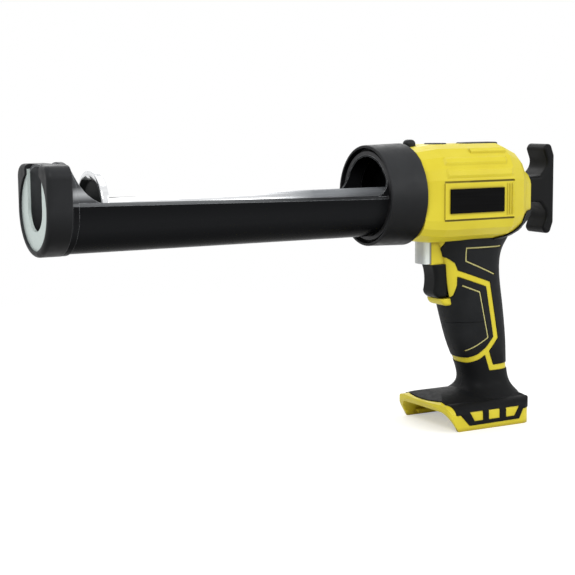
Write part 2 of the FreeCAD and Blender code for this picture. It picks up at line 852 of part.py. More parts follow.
# Drive: gear frame, gears, planetary stage and motor
def make_drive():
    channel = box("frame_block", (frame_front, frame_near, frame_base), (frame_rear, frame_far, frame_top))
    hollow = box("frame_hollow", (frame_front, frame_near + S.frame_plate, frame_floor),
                 (frame_rear, frame_far, frame_ceiling))
    seat = S.bearing_diameter / 2
    holes = [
        hollow,
        cylinder("frame_upper_hole", seat, S.frame_plate, (pinion_x, pinion_y, frame_ceiling)),
        cylinder("frame_lower_hole", seat, S.frame_plate, (pinion_x, pinion_y, frame_base)),
        cylinder("frame_output_hole", seat, S.frame_plate, (S.motor_setback, 0, frame_base)),
    ]
    node(cut("gear_frame", channel, fuse("frame_waste", holes)), "gear_frame")

    shaft = S.shaft_diameter / 2
    inner = shaft + S.shaft_play
    upper = sleeve("upper_bearing", inner, seat, S.frame_plate, (pinion_x, pinion_y, frame_ceiling))
    lower = sleeve("lower_bearing", inner, seat, S.frame_plate, (pinion_x, pinion_y, frame_base))
    node(group("pinion_bearings", [upper, lower]), "pinion_bearings")
    output = sleeve("output_bearing", inner, seat, S.frame_plate, (S.motor_setback, 0, frame_base))
    node(output, "output_bearing")
    axle = cylinder("pinion_shaft", shaft, frame_top - frame_base, (pinion_x, pinion_y, frame_base))
    node(axle, "pinion_shaft")

    half = S.pinion_width / 2
    spur_gear("rack_pinion", S.pinion_teeth, S.gear_module, shaft, S.pinion_width,
              (pinion_x, pinion_y, -half), -90)
    bearing = math.degrees(math.atan2(-pinion_y.number, S.motor_setback.number - pinion_x.number))
    spur_gear("reduction_gear", S.reduction_teeth, S.gear_module, shaft, S.gear_width,
              (pinion_x, pinion_y, gear_bottom), bearing)
    spur_gear("output_gear", S.output_teeth, S.gear_module, shaft, S.gear_width,
              (S.motor_setback, 0, gear_bottom), bearing + 180 + 180 / S.output_teeth.number)


def make_planetary():
    centre = (S.motor_setback, 0)
    shaft = S.shaft_diameter / 2
    ring = S.planet_module * ring_teeth / 2
    disc_radius = ring - 1.2
    stem = cylinder("carrier_stem", shaft, gear_top - carrier_base, (*centre, carrier_base))
    plate = cylinder("carrier_plate", disc_radius, carrier_top - carrier_base, (*centre, carrier_base))
    sockets = []
    pins = []
    pin = S.planet_pin / 2
    play = S.tooth_play / 2
    for index in range(3):
        angle = math.radians(120 * index)
        x = S.motor_setback + planet_orbit * math.cos(angle)
        y = planet_orbit * math.sin(angle)
        length = carrier_base - planet_base + 2.0
        sockets.append(cylinder("pin_socket", pin, 2.0, (x, y, carrier_base)))
        pins.append(cylinder("planet_pin", pin, length, (x, y, planet_base)))
        label = f"planet_gear_{index + 1}"
        spur_gear(label, S.planet_teeth, S.planet_module, pin + S.shaft_play, S.planet_width,
                  (x, y, planet_base), 120 * index, play)
    blank = fuse("carrier_blank", [stem, plate])
    node(cut("planet_carrier", blank, fuse("carrier_sockets", sockets)), "planet_carrier")
    node(group("planet_pins", pins), "planet_pins")
    axle = S.motor_shaft_diameter / 2
    spur_gear("sun_gear", S.sun_teeth, S.planet_module, axle, S.planet_width, (*centre, planet_base), 0, play)

    case = cylinder("case_block", S.case_diameter / 2, S.case_length, (*centre, case_base))
    face = gear_face(ring_teeth, S.planet_module, 1.25, 1.0, -play)
    hole = face.extrude(Vector(0, 0, float(S.planet_width) + 1.0))
    place = Placement(Vector(S.motor_setback, 0, planet_base - 0.5), Rotation())
    ring_hole = solid("ring_gear_hole", hole, place)
    room = ring + 0.3
    above = cylinder("case_upper_room", room, frame_base - planet_top - 0.4, (*centre, planet_top + 0.4))
    floor = case_base + 3.0
    below = cylinder("case_lower_room", room, planet_base - floor, (*centre, floor))
    hub = cylinder("case_hub_hole", axle + 2.0, 3.0, (*centre, case_base))
    node(cut("gearbox_case", case, fuse("case_rooms", [ring_hole, above, below, hub])), "gearbox_case")


def make_motor():
    centre = (S.motor_setback, 0)
    radius = S.motor_diameter / 2
    axle = S.motor_shaft_diameter / 2
    wall = S.motor_wall
    can = cylinder("can_block", radius, S.motor_length, (*centre, motor_base))
    room = cylinder("can_room", radius - wall, S.motor_length - wall, (*centre, motor_base))
    collar_hole = cylinder("can_hole", axle + S.shaft_play, wall, (*centre, case_base - wall))
    node(cut("motor_can", can, fuse("can_waste", [room, collar_hole])), "motor_can")
    magnets = []
    magnet_length = S.motor_length * 0.6
    magnet_base = motor_base + S.motor_length * 0.25
    for side in (0, 1):
        outer = cylinder("magnet_outer", radius - wall, magnet_length, (*centre, magnet_base))
        inner = cylinder("magnet_inner", radius - wall - 2.4, magnet_length, (*centre, magnet_base))
        outer.Angle = 140
        outer.Placement.Rotation = Rotation(Vector(0, 0, 1), 20 + 180 * side)
        magnets.append(cut("magnet", outer, inner))
    node(group("motor_magnets", magnets), "motor_magnets")
    rotor_radius = radius - wall - 2.4 - S.running_gap * 2
    rotor_base = magnet_base + 1.0
    rotor_length = magnet_length - 2.0
    core = cylinder("rotor_core", rotor_radius, rotor_length, (*centre, rotor_base))
    commutator_base = motor_base + 1.0
    commutator_length = rotor_base - commutator_base
    commutator = cylinder("commutator", rotor_radius * 0.4, commutator_length, (*centre, commutator_base))
    gaps = [cylinder("rotor_bore", axle, S.motor_length, (*centre, motor_base))]
    for index in range(5):
        angle = 72 * index
        x = S.motor_setback + rotor_radius * math.cos(math.radians(angle))
        y = rotor_radius * math.sin(math.radians(angle))
        gaps.append(cylinder("rotor_slot", rotor_radius * 0.28, rotor_length, (x, y, rotor_base)))
    node(cut("armature", fuse("rotor_blank", [core, commutator]), fuse("rotor_waste", gaps)), "armature")
    axle_length = planet_top - motor_base + cap_depth - 1.0
    node(cylinder("motor_shaft", axle, axle_length, (*centre, motor_base - cap_depth + 1.0)), "motor_shaft")
    cap = cylinder("cap_block", radius - 0.4, cap_depth, (*centre, motor_base - cap_depth))
    hole = cylinder("cap_hole", axle + S.shaft_play, cap_depth - 1.0, (*centre, motor_base - cap_depth + 1.0))
    node(cut("motor_cap", cap, hole), "motor_cap")


# Trigger, lamp and top controls
def line_xz(first, second):
    return Part.LineSegment(Vector(first[0], 0, first[1]), Vector(second[0], 0, second[1])).toShape()


def arc_xz(first, middle, last):
    points = [Vector(x, 0, z) for x, z in (first, middle, last)]
    return Part.Arc(*points).toShape()


def spread(edges, half):
    """A solid between the planes at plus and minus half, from edges drawn in X and Z."""
    block = Part.Face(Part.Wire(edges)).extrude(Vector(0, 2 * float(half), 0))
    block.translate(Vector(0, -float(half), 0))
    return block


def make_trigger():
    """A hooked trigger with a hollow front, and the stem that works the switch."""
    front = float(S.trigger_setback)
    top = -float(S.trigger_top)
    low = float(trigger_low)
    rear = front + float(S.trigger_depth)
    half = float(S.trigger_width) / 2
    hollow = (front + 2.2, (top + low) / 2 + 1)
    hook = (front + 1.2, low + 5)
    toe = (front + 6.5, low)
    heel = 3.0
    bend = heel * (1 - math.sqrt(0.5))
    edges = [
        arc_xz((front, top), hollow, hook),
        arc_xz(hook, (front + 3.2, low + 1.4), toe),
        line_xz(toe, (rear - heel, low)),
        arc_xz((rear - heel, low), (rear - bend, low + bend), (rear, low + heel)),
        line_xz((rear, low + heel), (rear, top)),
        line_xz((rear, top), (front, top)),
    ]
    block = spread(edges, half)
    rims = [e for e in block.Edges if abs(abs(e.CenterOfMass.y) - half) < 0.01]
    sides = [e for e in rims if e.CenterOfMass.x < front + 4]
    block = block.makeFillet(S.trigger_round, sides)
    stem_z = float(switch_top) - float(S.switch_height) / 2
    stem_length = switch_front - (S.trigger_setback + S.trigger_depth) + 1.0
    stem = Part.makeCylinder(S.stem_diameter / 2, stem_length, Vector(rear, 0, stem_z), Vector(1, 0, 0))
    node(solid("trigger", block.fuse(stem).removeSplitter()), "trigger")
    gap = float(switch_front) - rear
    inset = float(S.spring_wire) / 2 + 0.05
    coil("trigger_spring", 3.4, gap - 2 * inset, 5, (rear + inset, 0, stem_z), (1, 0, 0))

    half_width = S.trigger_width / 2
    low_corner = (switch_front, -half_width, switch_top - S.switch_height)
    block = box("switch_block", low_corner, (switch_front + S.switch_depth, half_width, switch_top))
    bore = S.stem_diameter / 2 + 0.2
    hole = cylinder("switch_hole", bore, S.trigger_travel + 2.0, (switch_front, 0, stem_z), "X")
    node(cut("switch_body", block, hole), "switch_body")


def lens_shape(grow):
    """The lamp's lens: an upright bar with a slightly bulging front and rounded edges."""
    grow = float(grow)
    half = float(S.lens_width) / 2 + grow
    front = float(S.column_setback) - grow
    edge = front + float(S.lens_bulge)
    rear = float(lens_rear) + grow
    low = float(lens_low) - grow
    top = float(lens_low) + float(S.lens_height) + grow
    edges = [
        Part.LineSegment(Vector(rear, half, low), Vector(edge, half, low)).toShape(),
        Part.Arc(Vector(edge, half, low), Vector(front, 0, low), Vector(edge, -half, low)).toShape(),
        Part.LineSegment(Vector(edge, -half, low), Vector(rear, -half, low)).toShape(),
        Part.LineSegment(Vector(rear, -half, low), Vector(rear, half, low)).toShape(),
    ]
    bar = Part.Face(Part.Wire(edges)).extrude(Vector(0, 0, top - low))
    upright = [e for e in bar.Edges if abs(e.tangentAt(e.FirstParameter).z) > 0.9]
    ahead = [e for e in upright if e.CenterOfMass.x < edge + 0.1]
    return bar.makeFillet(float(S.lens_round) + grow, ahead)


def lamp_board_corners():
    half = S.lens_width / 2 - 1.0
    low = lens_low + 2.4
    return (lens_rear, -half, low), (lens_rear + S.board_thickness, half, low + S.lens_height - 2.0)


def make_lamp():
    node(solid("lamp_lens", lens_shape(0)), "lamp_lens")
    node(box("lamp_board", *lamp_board_corners()), "lamp_board")


def rounded_block(low, high, upright, top_round):
    """A block with rounded upright corners and a rounded top edge."""
    size = [float(b) - float(a) for a, b in zip(low, high)]
    block = Part.makeBox(*size, Vector(*low))
    posts = [e for e in block.Edges if abs(e.tangentAt(e.FirstParameter).z) > 0.9]
    block = block.makeFillet(upright, posts)
    top = [e for e in block.Edges if abs(e.CenterOfMass.z - float(high[2])) < 0.01]
    return block.makeFillet(top_round, top)


def make_dial():
    radius = S.dial_diameter / 2
    stem_drop = 6.0
    wheel = cylinder("dial_wheel", radius, S.dial_thickness, (S.dial_setback, 0, dial_low))
    stem = cylinder("dial_stem", S.dial_stem / 2, stem_drop, (S.dial_setback, 0, dial_low - stem_drop))
    nick_count = 20
    nick_orbit = radius + 0.5
    nicks = []
    for index in range(nick_count):
        angle = 2 * math.pi * index / nick_count
        x = S.dial_setback + nick_orbit * math.cos(angle)
        y = nick_orbit * math.sin(angle)
        nicks.append(cylinder("dial_nick", 1.0, S.dial_thickness, (x, y, dial_low)))
    mark_low = (S.dial_setback - radius, -0.5, S.dial_top - 0.5)
    mark = box("dial_mark", mark_low, (S.dial_setback - 2.0, 0.5, S.dial_top))
    blank = fuse("dial_blank", [wheel, stem])
    node(cut("speed_dial", blank, fuse("dial_waste", nicks + [mark])), "speed_dial")
    half = S.sensor_width / 2
    corner = (S.dial_setback - half, -half, sensor_low)
    sensor = box("sensor_block", corner, (S.dial_setback + half, half, sensor_low + S.sensor_height))
    bore = S.dial_stem / 2 + S.shaft_play
    hole = cylinder("sensor_hole", bore, S.sensor_height, (S.dial_setback, 0, sensor_low))
    node(cut("dial_sensor", sensor, hole), "dial_sensor")


def make_button():
    half = S.button_width / 2
    reach = S.lip_reach
    pad = rounded_block((S.button_setback, -half, button_low), (button_rear, half, S.button_top), 4.0, 1.2)
    lip_low = (S.button_setback - reach, -half - reach, button_low - S.lip_height)
    lip = rounded_block(lip_low, (button_rear + reach, half + reach, button_low), 4.0, 0.4)
    guide_length = 8.0
    guide_low = button_low - S.lip_height - guide_length
    guide = Part.makeCylinder(S.stem_diameter / 2, guide_length, Vector(button_middle, 0, guide_low))
    node(solid("release_button", pad.fuse(lip).fuse(guide).removeSplitter()), "release_button")
    inset = float(S.spring_wire) / 2 + 0.05
    span = button_low - S.lip_height - frame_top - 2 * inset
    coil("release_spring", 3.0, span, 6, (button_middle, 0, frame_top + inset), (0, 0, 1))


def make_latch():
    """A small domed button on a square lip, held up by a spring."""
    half = S.latch_width / 2
    knob_high = (latch_front + S.latch_length, half, S.latch_top)
    knob = rounded_block((latch_front, -half, latch_low), knob_high, 4.0, 3.0)
    lip_low = (lip_front, -half - S.lip_reach, latch_low - S.lip_height)
    lip_rear = latch_front + S.latch_length + S.lip_reach
    lip = box_shape(lip_low, (lip_rear, half + S.lip_reach, latch_low))
    node(solid("collar_latch", knob.fuse(lip).removeSplitter()), "collar_latch")
    inset = float(S.spring_wire) / 2 + 0.05
    span = latch_low - S.lip_height - latch_shelf - 2 * inset
    middle = (lip_front + lip_rear) / 2
    coil("latch_spring", 3.0, span, 4, (middle, 0, latch_shelf + inset), (0, 0, 1))


# Electrics in the grip and the foot
def wire_runs():
    """Low end and length of each wire: two to the motor and two to the terminals."""
    motor_low = board_top - 4.0
    runs = []
    for side in (-1, 1):
        runs.append(((S.motor_setback - 3.0, 4.0 * side, motor_low), motor_base - cap_depth - motor_low))
        runs.append(((board_middle - 2.0, 5.5 * side, block_top), board_low + 2.0 - block_top))
    return runs


def make_electrics():
    half = S.board_thickness / 2
    board_high = (board_front + S.board_width, half, board_top)
    board = box("control_board", (board_front, -half, board_low), board_high)
    node(board, "control_board")
    switch_low = (board_middle - 6.0, -half - 4.0, board_low + 6.0)
    chip_low = (board_middle - 4.0, half, board_top - 10.0)
    parts = [
        cylinder("capacitor", 3.0, 9.0, (board_middle + 2.0, half + 3.0, board_low + 3.0)),
        box("power_switch", switch_low, (board_middle + 4.0, -half, board_low + 16.0)),
        box("controller", chip_low, (board_middle + 4.0, half + 1.4, board_top - 2.0)),
    ]
    node(group("board_parts", parts), "board_parts")
    wires = [cylinder("wire", S.wire_diameter / 2, length, place) for place, length in wire_runs()]
    node(group("wires", wires), "wires")
    wide = S.block_width / 2
    block_rear = block_front + S.block_length
    block = box("terminal_housing", (block_front, -wide, block_low), (block_rear, wide, block_top))
    slots = []
    blades = []
    for index in range(4):
        y = S.blade_pitch * (index - 1.5)
        blade = ((block_front - 6.0, y - 0.4, block_low + 1.5), (block_rear - 4.0, y + 0.4, block_low + 5.5))
        slots.append(box("blade_slot", *blade))
        blades.append(box("blade", *blade))
    node(cut("terminal_block", block, fuse("blade_slots", slots)), "terminal_block")
    node(group("terminal_blades", blades), "terminal_blades")


# Housing halves and their rubber covers
def ring_of(points):
    curve = Part.BSplineCurve()
    curve.interpolate(points, PeriodicFlag=True)
    return Part.Wire(curve.toShape())


def rounded(power, count=24):
    """Points of a unit superellipse, as pairs, starting a half step off its axes."""
    for index in range(count):
        angle = 2 * math.pi * (index + 0.5) / count
        c, s = math.cos(angle), math.sin(angle)
        yield math.copysign(abs(c) ** (2 / power), c), math.copysign(abs(s) ** (2 / power), s)


# Facets of the barrel's section on one side: shares of its half width and of its height from the axis
BARREL_FACETS = (
    (0.34, 1.00),
    (0.62, 0.92),
    (0.82, 0.765),
    (0.945, 0.53),
    (1.0, 0.31),
    (1.0, -0.52),
    (0.93, -0.70),
    (0.78, -0.85),
    (0.50, -0.97),
    (0.30, -1.0),
)


def barrel_section(x, top, low, side):
    far = [(side * u, top * v if v > 0 else low * -v) for u, v in BARREL_FACETS]
    near = [(-y, z) for y, z in reversed(far)]
    corners = [Vector(x, y, z) for y, z in far + near]
    return Part.makePolygon(corners + corners[:1])


def barrel_shape(inset, front, rear):
    """The barrel in flat facets: smaller at its front, and stepped in at its rear, more above than below."""
    inset = float(inset)
    start = float(body_front)
    end = float(body_rear)
    tall = float(barrel_top)
    wide = float(barrel_side)
    stations = (
        (start, 2.4, 2.4, 2.4),
        (start + 5.0, 1.5, 1.5, 1.5),
        (start + 17.0, 0.0, 0.0, 0.0),
        (end - 28.0, 0.0, 0.0, 0.0),
        (end - 16.4, 5.0, 2.6, 4.5),
        (end - 11.4, 9.0, 4.4, 8.5),
        (end - 9.4, 14.0, 5.4, 10.5),
        (end - 1.9, 19.5, 10.0, 15.0),
        (end, 21.0, 13.5, 17.5),
    )
    sections = []
    for x, top_drop, low_drop, side_drop in stations:
        top = tall - top_drop - inset
        low = -tall + low_drop + inset
        sections.append(barrel_section(x, top, low, wide - side_drop - inset))
    loft = Part.makeLoft(sections, True, True)
    reach = float(S.barrel_height) * 2
    keep = Part.makeBox(float(rear - front), reach, reach, Vector(front, -reach / 2, -reach / 2))
    return loft.common(keep)


# Grip stations: share of the axis height, shift of the centre, share of the depth, share of the width
GRIP = (
    (0.140, 0.0, 1.30, 1.03),
    (0.233, -0.5, 1.24, 1.03),
    (0.344, -0.6, 1.08, 1.00),
    (0.466, 2.3, 1.06, 1.00),
    (0.564, 5.6, 1.01, 0.99),
    (0.687, 10.0, 0.893, 0.96),
    (0.785, 13.9, 0.763, 0.93),
    (0.834, 15.0, 0.80, 1.00),
    (0.872, 14.0, 1.02, 1.30),
    (0.905, 13.0, 1.20, 1.50),
)


def grip_shape(inset):
    inset = float(inset)
    rings = []
    for share, shift, deep, wide in GRIP:
        level = -share * float(S.axis_height)
        centre = float(S.grip_setback) + shift
        half_depth = float(S.grip_depth) * deep / 2 - inset
        half_width = float(S.grip_width) * wide / 2 - inset
        points = [Vector(centre + half_depth * u, half_width * v, level) for u, v in rounded(GRIP_POWER)]
        rings.append(ring_of(points))
    return Part.makeLoft(rings, True, False)


def foot_front(shift, corner, half):
    """The foot's bulging front edge as a face of the plan's far side, moved back by a shift."""
    front = float(foot_tip) + shift
    ahead = front - shift - 5.0
    depth = front + float(S.foot_bulge) + corner
    curve = Part.Arc(Vector(depth, -half, 0), Vector(front, 0, 0), Vector(depth, half, 0)).toShape()
    far = Part.LineSegment(Vector(depth, half, 0), Vector(ahead, half, 0)).toShape()
    face = Part.LineSegment(Vector(ahead, half, 0), Vector(ahead, -half, 0)).toShape()
    near = Part.LineSegment(Vector(ahead, -half, 0), Vector(depth, -half, 0)).toShape()
    return Part.Face(Part.Wire([curve, far, face, near]))


def foot_plan(front, rear, half, inset):
    """Plan of the foot: a bulging front and four rounded corners."""
    edge = front + float(S.foot_bulge)
    near_round = float(S.foot_corner) - inset / 2
    far_round = float(S.foot_rear_corner) - inset
    soft = near_round * (1 - math.sqrt(0.5))
    bend = far_round * (1 - math.sqrt(0.5))

    def line(first, second):
        return Part.LineSegment(Vector(*first, 0), Vector(*second, 0)).toShape()

    def arc(first, middle, last):
        return Part.Arc(Vector(*first, 0), Vector(*middle, 0), Vector(*last, 0)).toShape()

    return Part.Face(Part.Wire([
        arc((edge, near_round - half), (front, 0), (edge, half - near_round)),
        arc((edge, half - near_round), (edge + soft, half - soft), (edge + near_round, half)),
        line((edge + near_round, half), (rear - far_round, half)),
        arc((rear - far_round, half), (rear - bend, half - bend), (rear, half - far_round)),
        line((rear, half - far_round), (rear, far_round - half)),
        arc((rear, far_round - half), (rear - bend, bend - half), (rear - far_round, -half)),
        line((rear - far_round, -half), (edge + near_round, -half)),
        arc((edge + near_round, -half), (edge + soft, soft - half), (edge, near_round - half)),
    ]))


def foot_shape(inset):
    """The foot: an arched cross-section within a rounded plan, falling away at its front and rear."""
    inset = float(inset)
    front = float(foot_tip) + inset * 0.5
    rear = float(S.foot_setback + S.foot_length) - inset
    half = float(S.foot_width) / 2 - inset
    low = float(ground)
    top = float(foot_top) - inset
    shoulder = low + float(S.foot_shoulder) - inset * 0.4
    crown = (half * 0.74, top - 5.2)
    bend = (half * 0.93, (shoulder + crown[1]) / 2 + 1.2)

    def at(y, z):
        return Vector(front, y, z)

    arch = [
        Part.LineSegment(at(-half, low), at(half, low)).toShape(),
        Part.LineSegment(at(half, low), at(half, shoulder)).toShape(),
        Part.Arc(at(half, shoulder), at(*bend), at(*crown)).toShape(),
        Part.Arc(at(*crown), at(0, top), at(-crown[0], crown[1])).toShape(),
        Part.Arc(at(-crown[0], crown[1]), at(-bend[0], bend[1]), at(-half, shoulder)).toShape(),
        Part.LineSegment(at(-half, shoulder), at(-half, low)).toShape(),
    ]
    block = Part.Face(Part.Wire(arch)).extrude(Vector(rear - front, 0, 0))
    post = foot_plan(front, rear, half, inset).extrude(Vector(0, 0, top - low + 1))
    post.translate(Vector(0, 0, low))
    fall = float(S.foot_fall)
    heel = float(foot_heel) + inset * 0.5
    profile = [
        (heel, low, 0.3),
        (rear + 0.5, low, 0.3),
        (rear + 0.5, top - fall + 0.6, 5.0),
        (rear - 18.0, top, 14.0),
        (front + 13.0, top, 14.0),
        (front - 0.5, top - fall, 0.3),
    ]
    side = smooth_face(profile, -2 * half).extrude(Vector(0, 4 * half, 0))
    return block.common(post).common(side)


def dock_space():
    """The battery's room in the foot, open at the front and below, with a rail along each side."""
    front = float(foot_tip) - 2
    rear = float(S.foot_setback + S.foot_length - S.dock_rear)
    half = float(S.foot_width) / 2 - float(S.dock_wall)
    low = float(ground) - 1
    top = float(ground + S.dock_height)
    arch = [
        Part.LineSegment(Vector(front, -half, low), Vector(front, half, low)).toShape(),
        Part.LineSegment(Vector(front, half, low), Vector(front, half, low + 2)).toShape(),
        Part.Arc(Vector(front, half, low + 2), Vector(front, half * 0.94, top - 4.4),
                 Vector(front, half * 0.74, top - 0.5)).toShape(),
        Part.LineSegment(
            Vector(front, half * 0.74, top - 0.5),
            Vector(front, -half * 0.74, top - 0.5),
        ).toShape(),
        Part.Arc(Vector(front, -half * 0.74, top - 0.5), Vector(front, -half * 0.94, top - 4.4),
                 Vector(front, -half, low + 2)).toShape(),
        Part.LineSegment(Vector(front, -half, low + 2), Vector(front, -half, low)).toShape(),
    ]
    return Part.Face(Part.Wire(arch)).extrude(Vector(rear - front, 0, 0))


def ribbon(points, width):
    """A band of even width along a line in X and Z."""
    normals = []
    for (x0, z0), (x1, z1) in zip(points, points[1:]):
        length = math.hypot(x1 - x0, z1 - z0)
        normals.append((-(z1 - z0) / length, (x1 - x0) / length))
    left, right = [], []
    for index, (x, z) in enumerate(points):
        a = normals[max(0, index - 1)]
        b = normals[min(len(normals) - 1, index)]
        scale = width / (1 + a[0] * b[0] + a[1] * b[1])
        nx, nz = (a[0] + b[0]) * scale / 2, (a[1] + b[1]) * scale / 2
        left.append((x + nx, z + nz))
        right.append((x - nx, z - nz))
    return left + right[::-1]


# Lines left in the housing's own colour on each side of the grip
BROAD_LINES = (
    (
        (58.0, -52.6),
        (91.3, -64.5),
        (98.7, -102.8),
        (91.5, -111.0),
        (85.0, -115.8),
        (79.0, -118.6),
        (70.0, -119.6),
    ),
    ((90.4, -110.5), (95.6, -124.4), (122.0, -124.4)),
)
THIN_LINES = (
    ((104.0, -38.4), (72.6, -38.2), (72.6, -47.3), (97.6, -58.0)),
    ((69.9, -64.2), (84.0, -69.6), (91.8, -102.5), (76.0, -111.6)),
)


def housing_zones(grow):
    """Everything on the grip and the foot that shows the housing's colour, as solids across the tool."""
    grow = float(grow)
    reach = float(S.foot_width)
    frame = [(30.0, -20.0), (58.6, -20.0), (57.6, -34.0), (55.4, -43.0), (60.5, -44.8), (65.0, -48.4),
             (66.8, -53.0),
             (66.8, -64.0), (65.2, -71.0), (61.0, -76.4), (56.0, -78.6), (30.0, -78.6)]
    zones = [prism([(x + grow, z - (grow if z < -70 else 0)) for x, z in frame], -reach, reach)]
    for line in BROAD_LINES:
        zones.append(prism(ribbon(line, float(S.line_width) + 2 * grow), -reach, reach))
    for line in THIN_LINES:
        zones.append(prism(ribbon(line, float(S.thin_line) + 2 * grow), -reach, reach))
    low = float(ground) - 1
    skirt_top = low + 1 + float(S.foot_shoulder)
    front = float(S.foot_setback)
    skirt = [
        (front - 5, skirt_top),
        (front + 7, skirt_top),
        (front + 14.5, low + 4.4),
        (front + 57.0, low + 4.8),
        (front + 60.5, skirt_top - 0.8),
        (front + 80, skirt_top - 0.4),
        (front + 80, low),
        (front - 5, low),
    ]
    zones.append(prism([(x, z + grow if z > low else z) for x, z in skirt], -reach, reach))
    band = foot_front(float(S.band_depth) + grow, float(S.foot_corner), float(S.foot_width) / 2 + 0.5)
    band.translate(Vector(0, 0, low))
    zones.append(band.extrude(Vector(0, 0, 2 * float(S.foot_height))))
    depth = float(S.band_depth) + grow
    tip = float(foot_tip)
    brow = float(foot_top - S.foot_fall)
    lean = [(tip - 5, low), (float(foot_heel) + depth, low), (tip + depth, brow), (tip - 5, brow)]
    zones.append(prism(lean, -reach, reach))
    for x0, x1, x2, x3 in ((14.6, 25.6, 25.8, 18.9), (30.8, 40.0, 40.0, 30.8), (45.6, 57.0, 52.8, 45.7)):
        top, bottom = low + 13.9 + grow, low + 7.3 - grow
        upper = [(front + x0 - grow, top), (front + x1 + grow, top)]
        window = upper + [(front + x2 + grow, bottom), (front + x3 - grow, bottom)]
        zones.append(prism(window, -reach, reach))
    return zones[0].multiFuse(zones[1:])


def box_shape(low, high):
    return Part.makeBox(*[float(b) - float(a) for a, b in zip(low, high)], Vector(*low))


def column_shape():
    """The lamp's column under the barrel, ahead of the grip."""
    half = S.column_width / 2
    low = (lens_rear, -half, lens_low - 0.6)
    block = box_shape(low, (S.grip_setback - 18.0, half, -barrel_top * 0.6))
    upright = [e for e in block.Edges if abs(e.tangentAt(0).z) > 0.9]
    front = [e for e in upright if abs(e.CenterOfMass.x - float(low[0])) < 0.01]
    return block.makeFillet(0.8, front)


def chin_shape():
    """The guard's lip under the trigger."""
    top = float(trigger_low) - float(S.running_gap)
    low = top - float(S.chin_height)
    tip = float(S.chin_reach)
    flat = tip + 5.4
    root_x = float(S.grip_setback) - 14.0
    radius = ((flat - tip) ** 2 + (top - low) ** 2) / (2 * (top - low))
    angle = math.atan2(top - low - radius, tip - flat) / 2 - math.pi / 4
    middle = (flat + radius * math.cos(angle), low + radius + radius * math.sin(angle))
    edges = [
        arc_xz((tip, top), middle, (flat, low)),
        line_xz((flat, low), (root_x, low)),
        line_xz((root_x, low), (root_x, top)),
        line_xz((root_x, top), (tip, top)),
    ]
    half = float(S.chin_width) / 2
    block = spread(edges, half)
    rims = [e for e in block.Edges if abs(abs(e.CenterOfMass.y) - half) < 0.01]
    lower = [e for e in rims if e.CenterOfMass.z < top - 0.5 and abs(e.CenterOfMass.x - root_x) > 0.01]
    return block.makeFillet(2.0, lower)


def screw_places():
    """Where the clamshell screws cross the housing, in X and Z, with the length of each."""
    top = float(barrel_top)
    rear = float(body_rear)
    return (
        (float(body_front) + 21.0, top * 0.55, 24.0),
        (rear - 17.0, top * 0.50, 18.0),
        (float(body_front) + 15.0, -top * 0.62, 20.0),
        (float(S.grip_setback) - 11.0, -float(S.axis_height) * 0.545, 10.0),
        (float(S.grip_setback) + 14.0, -float(S.axis_height) * 0.79, 8.0),
    )


def half_space(flank):
    """A block that takes in everything on one side of the parting plane."""
    limit = float(S.axis_height) * 2
    low_y, high_y = sorted((0.0, flank * limit))
    return box_shape((-limit, low_y, -limit), (limit, high_y, limit))


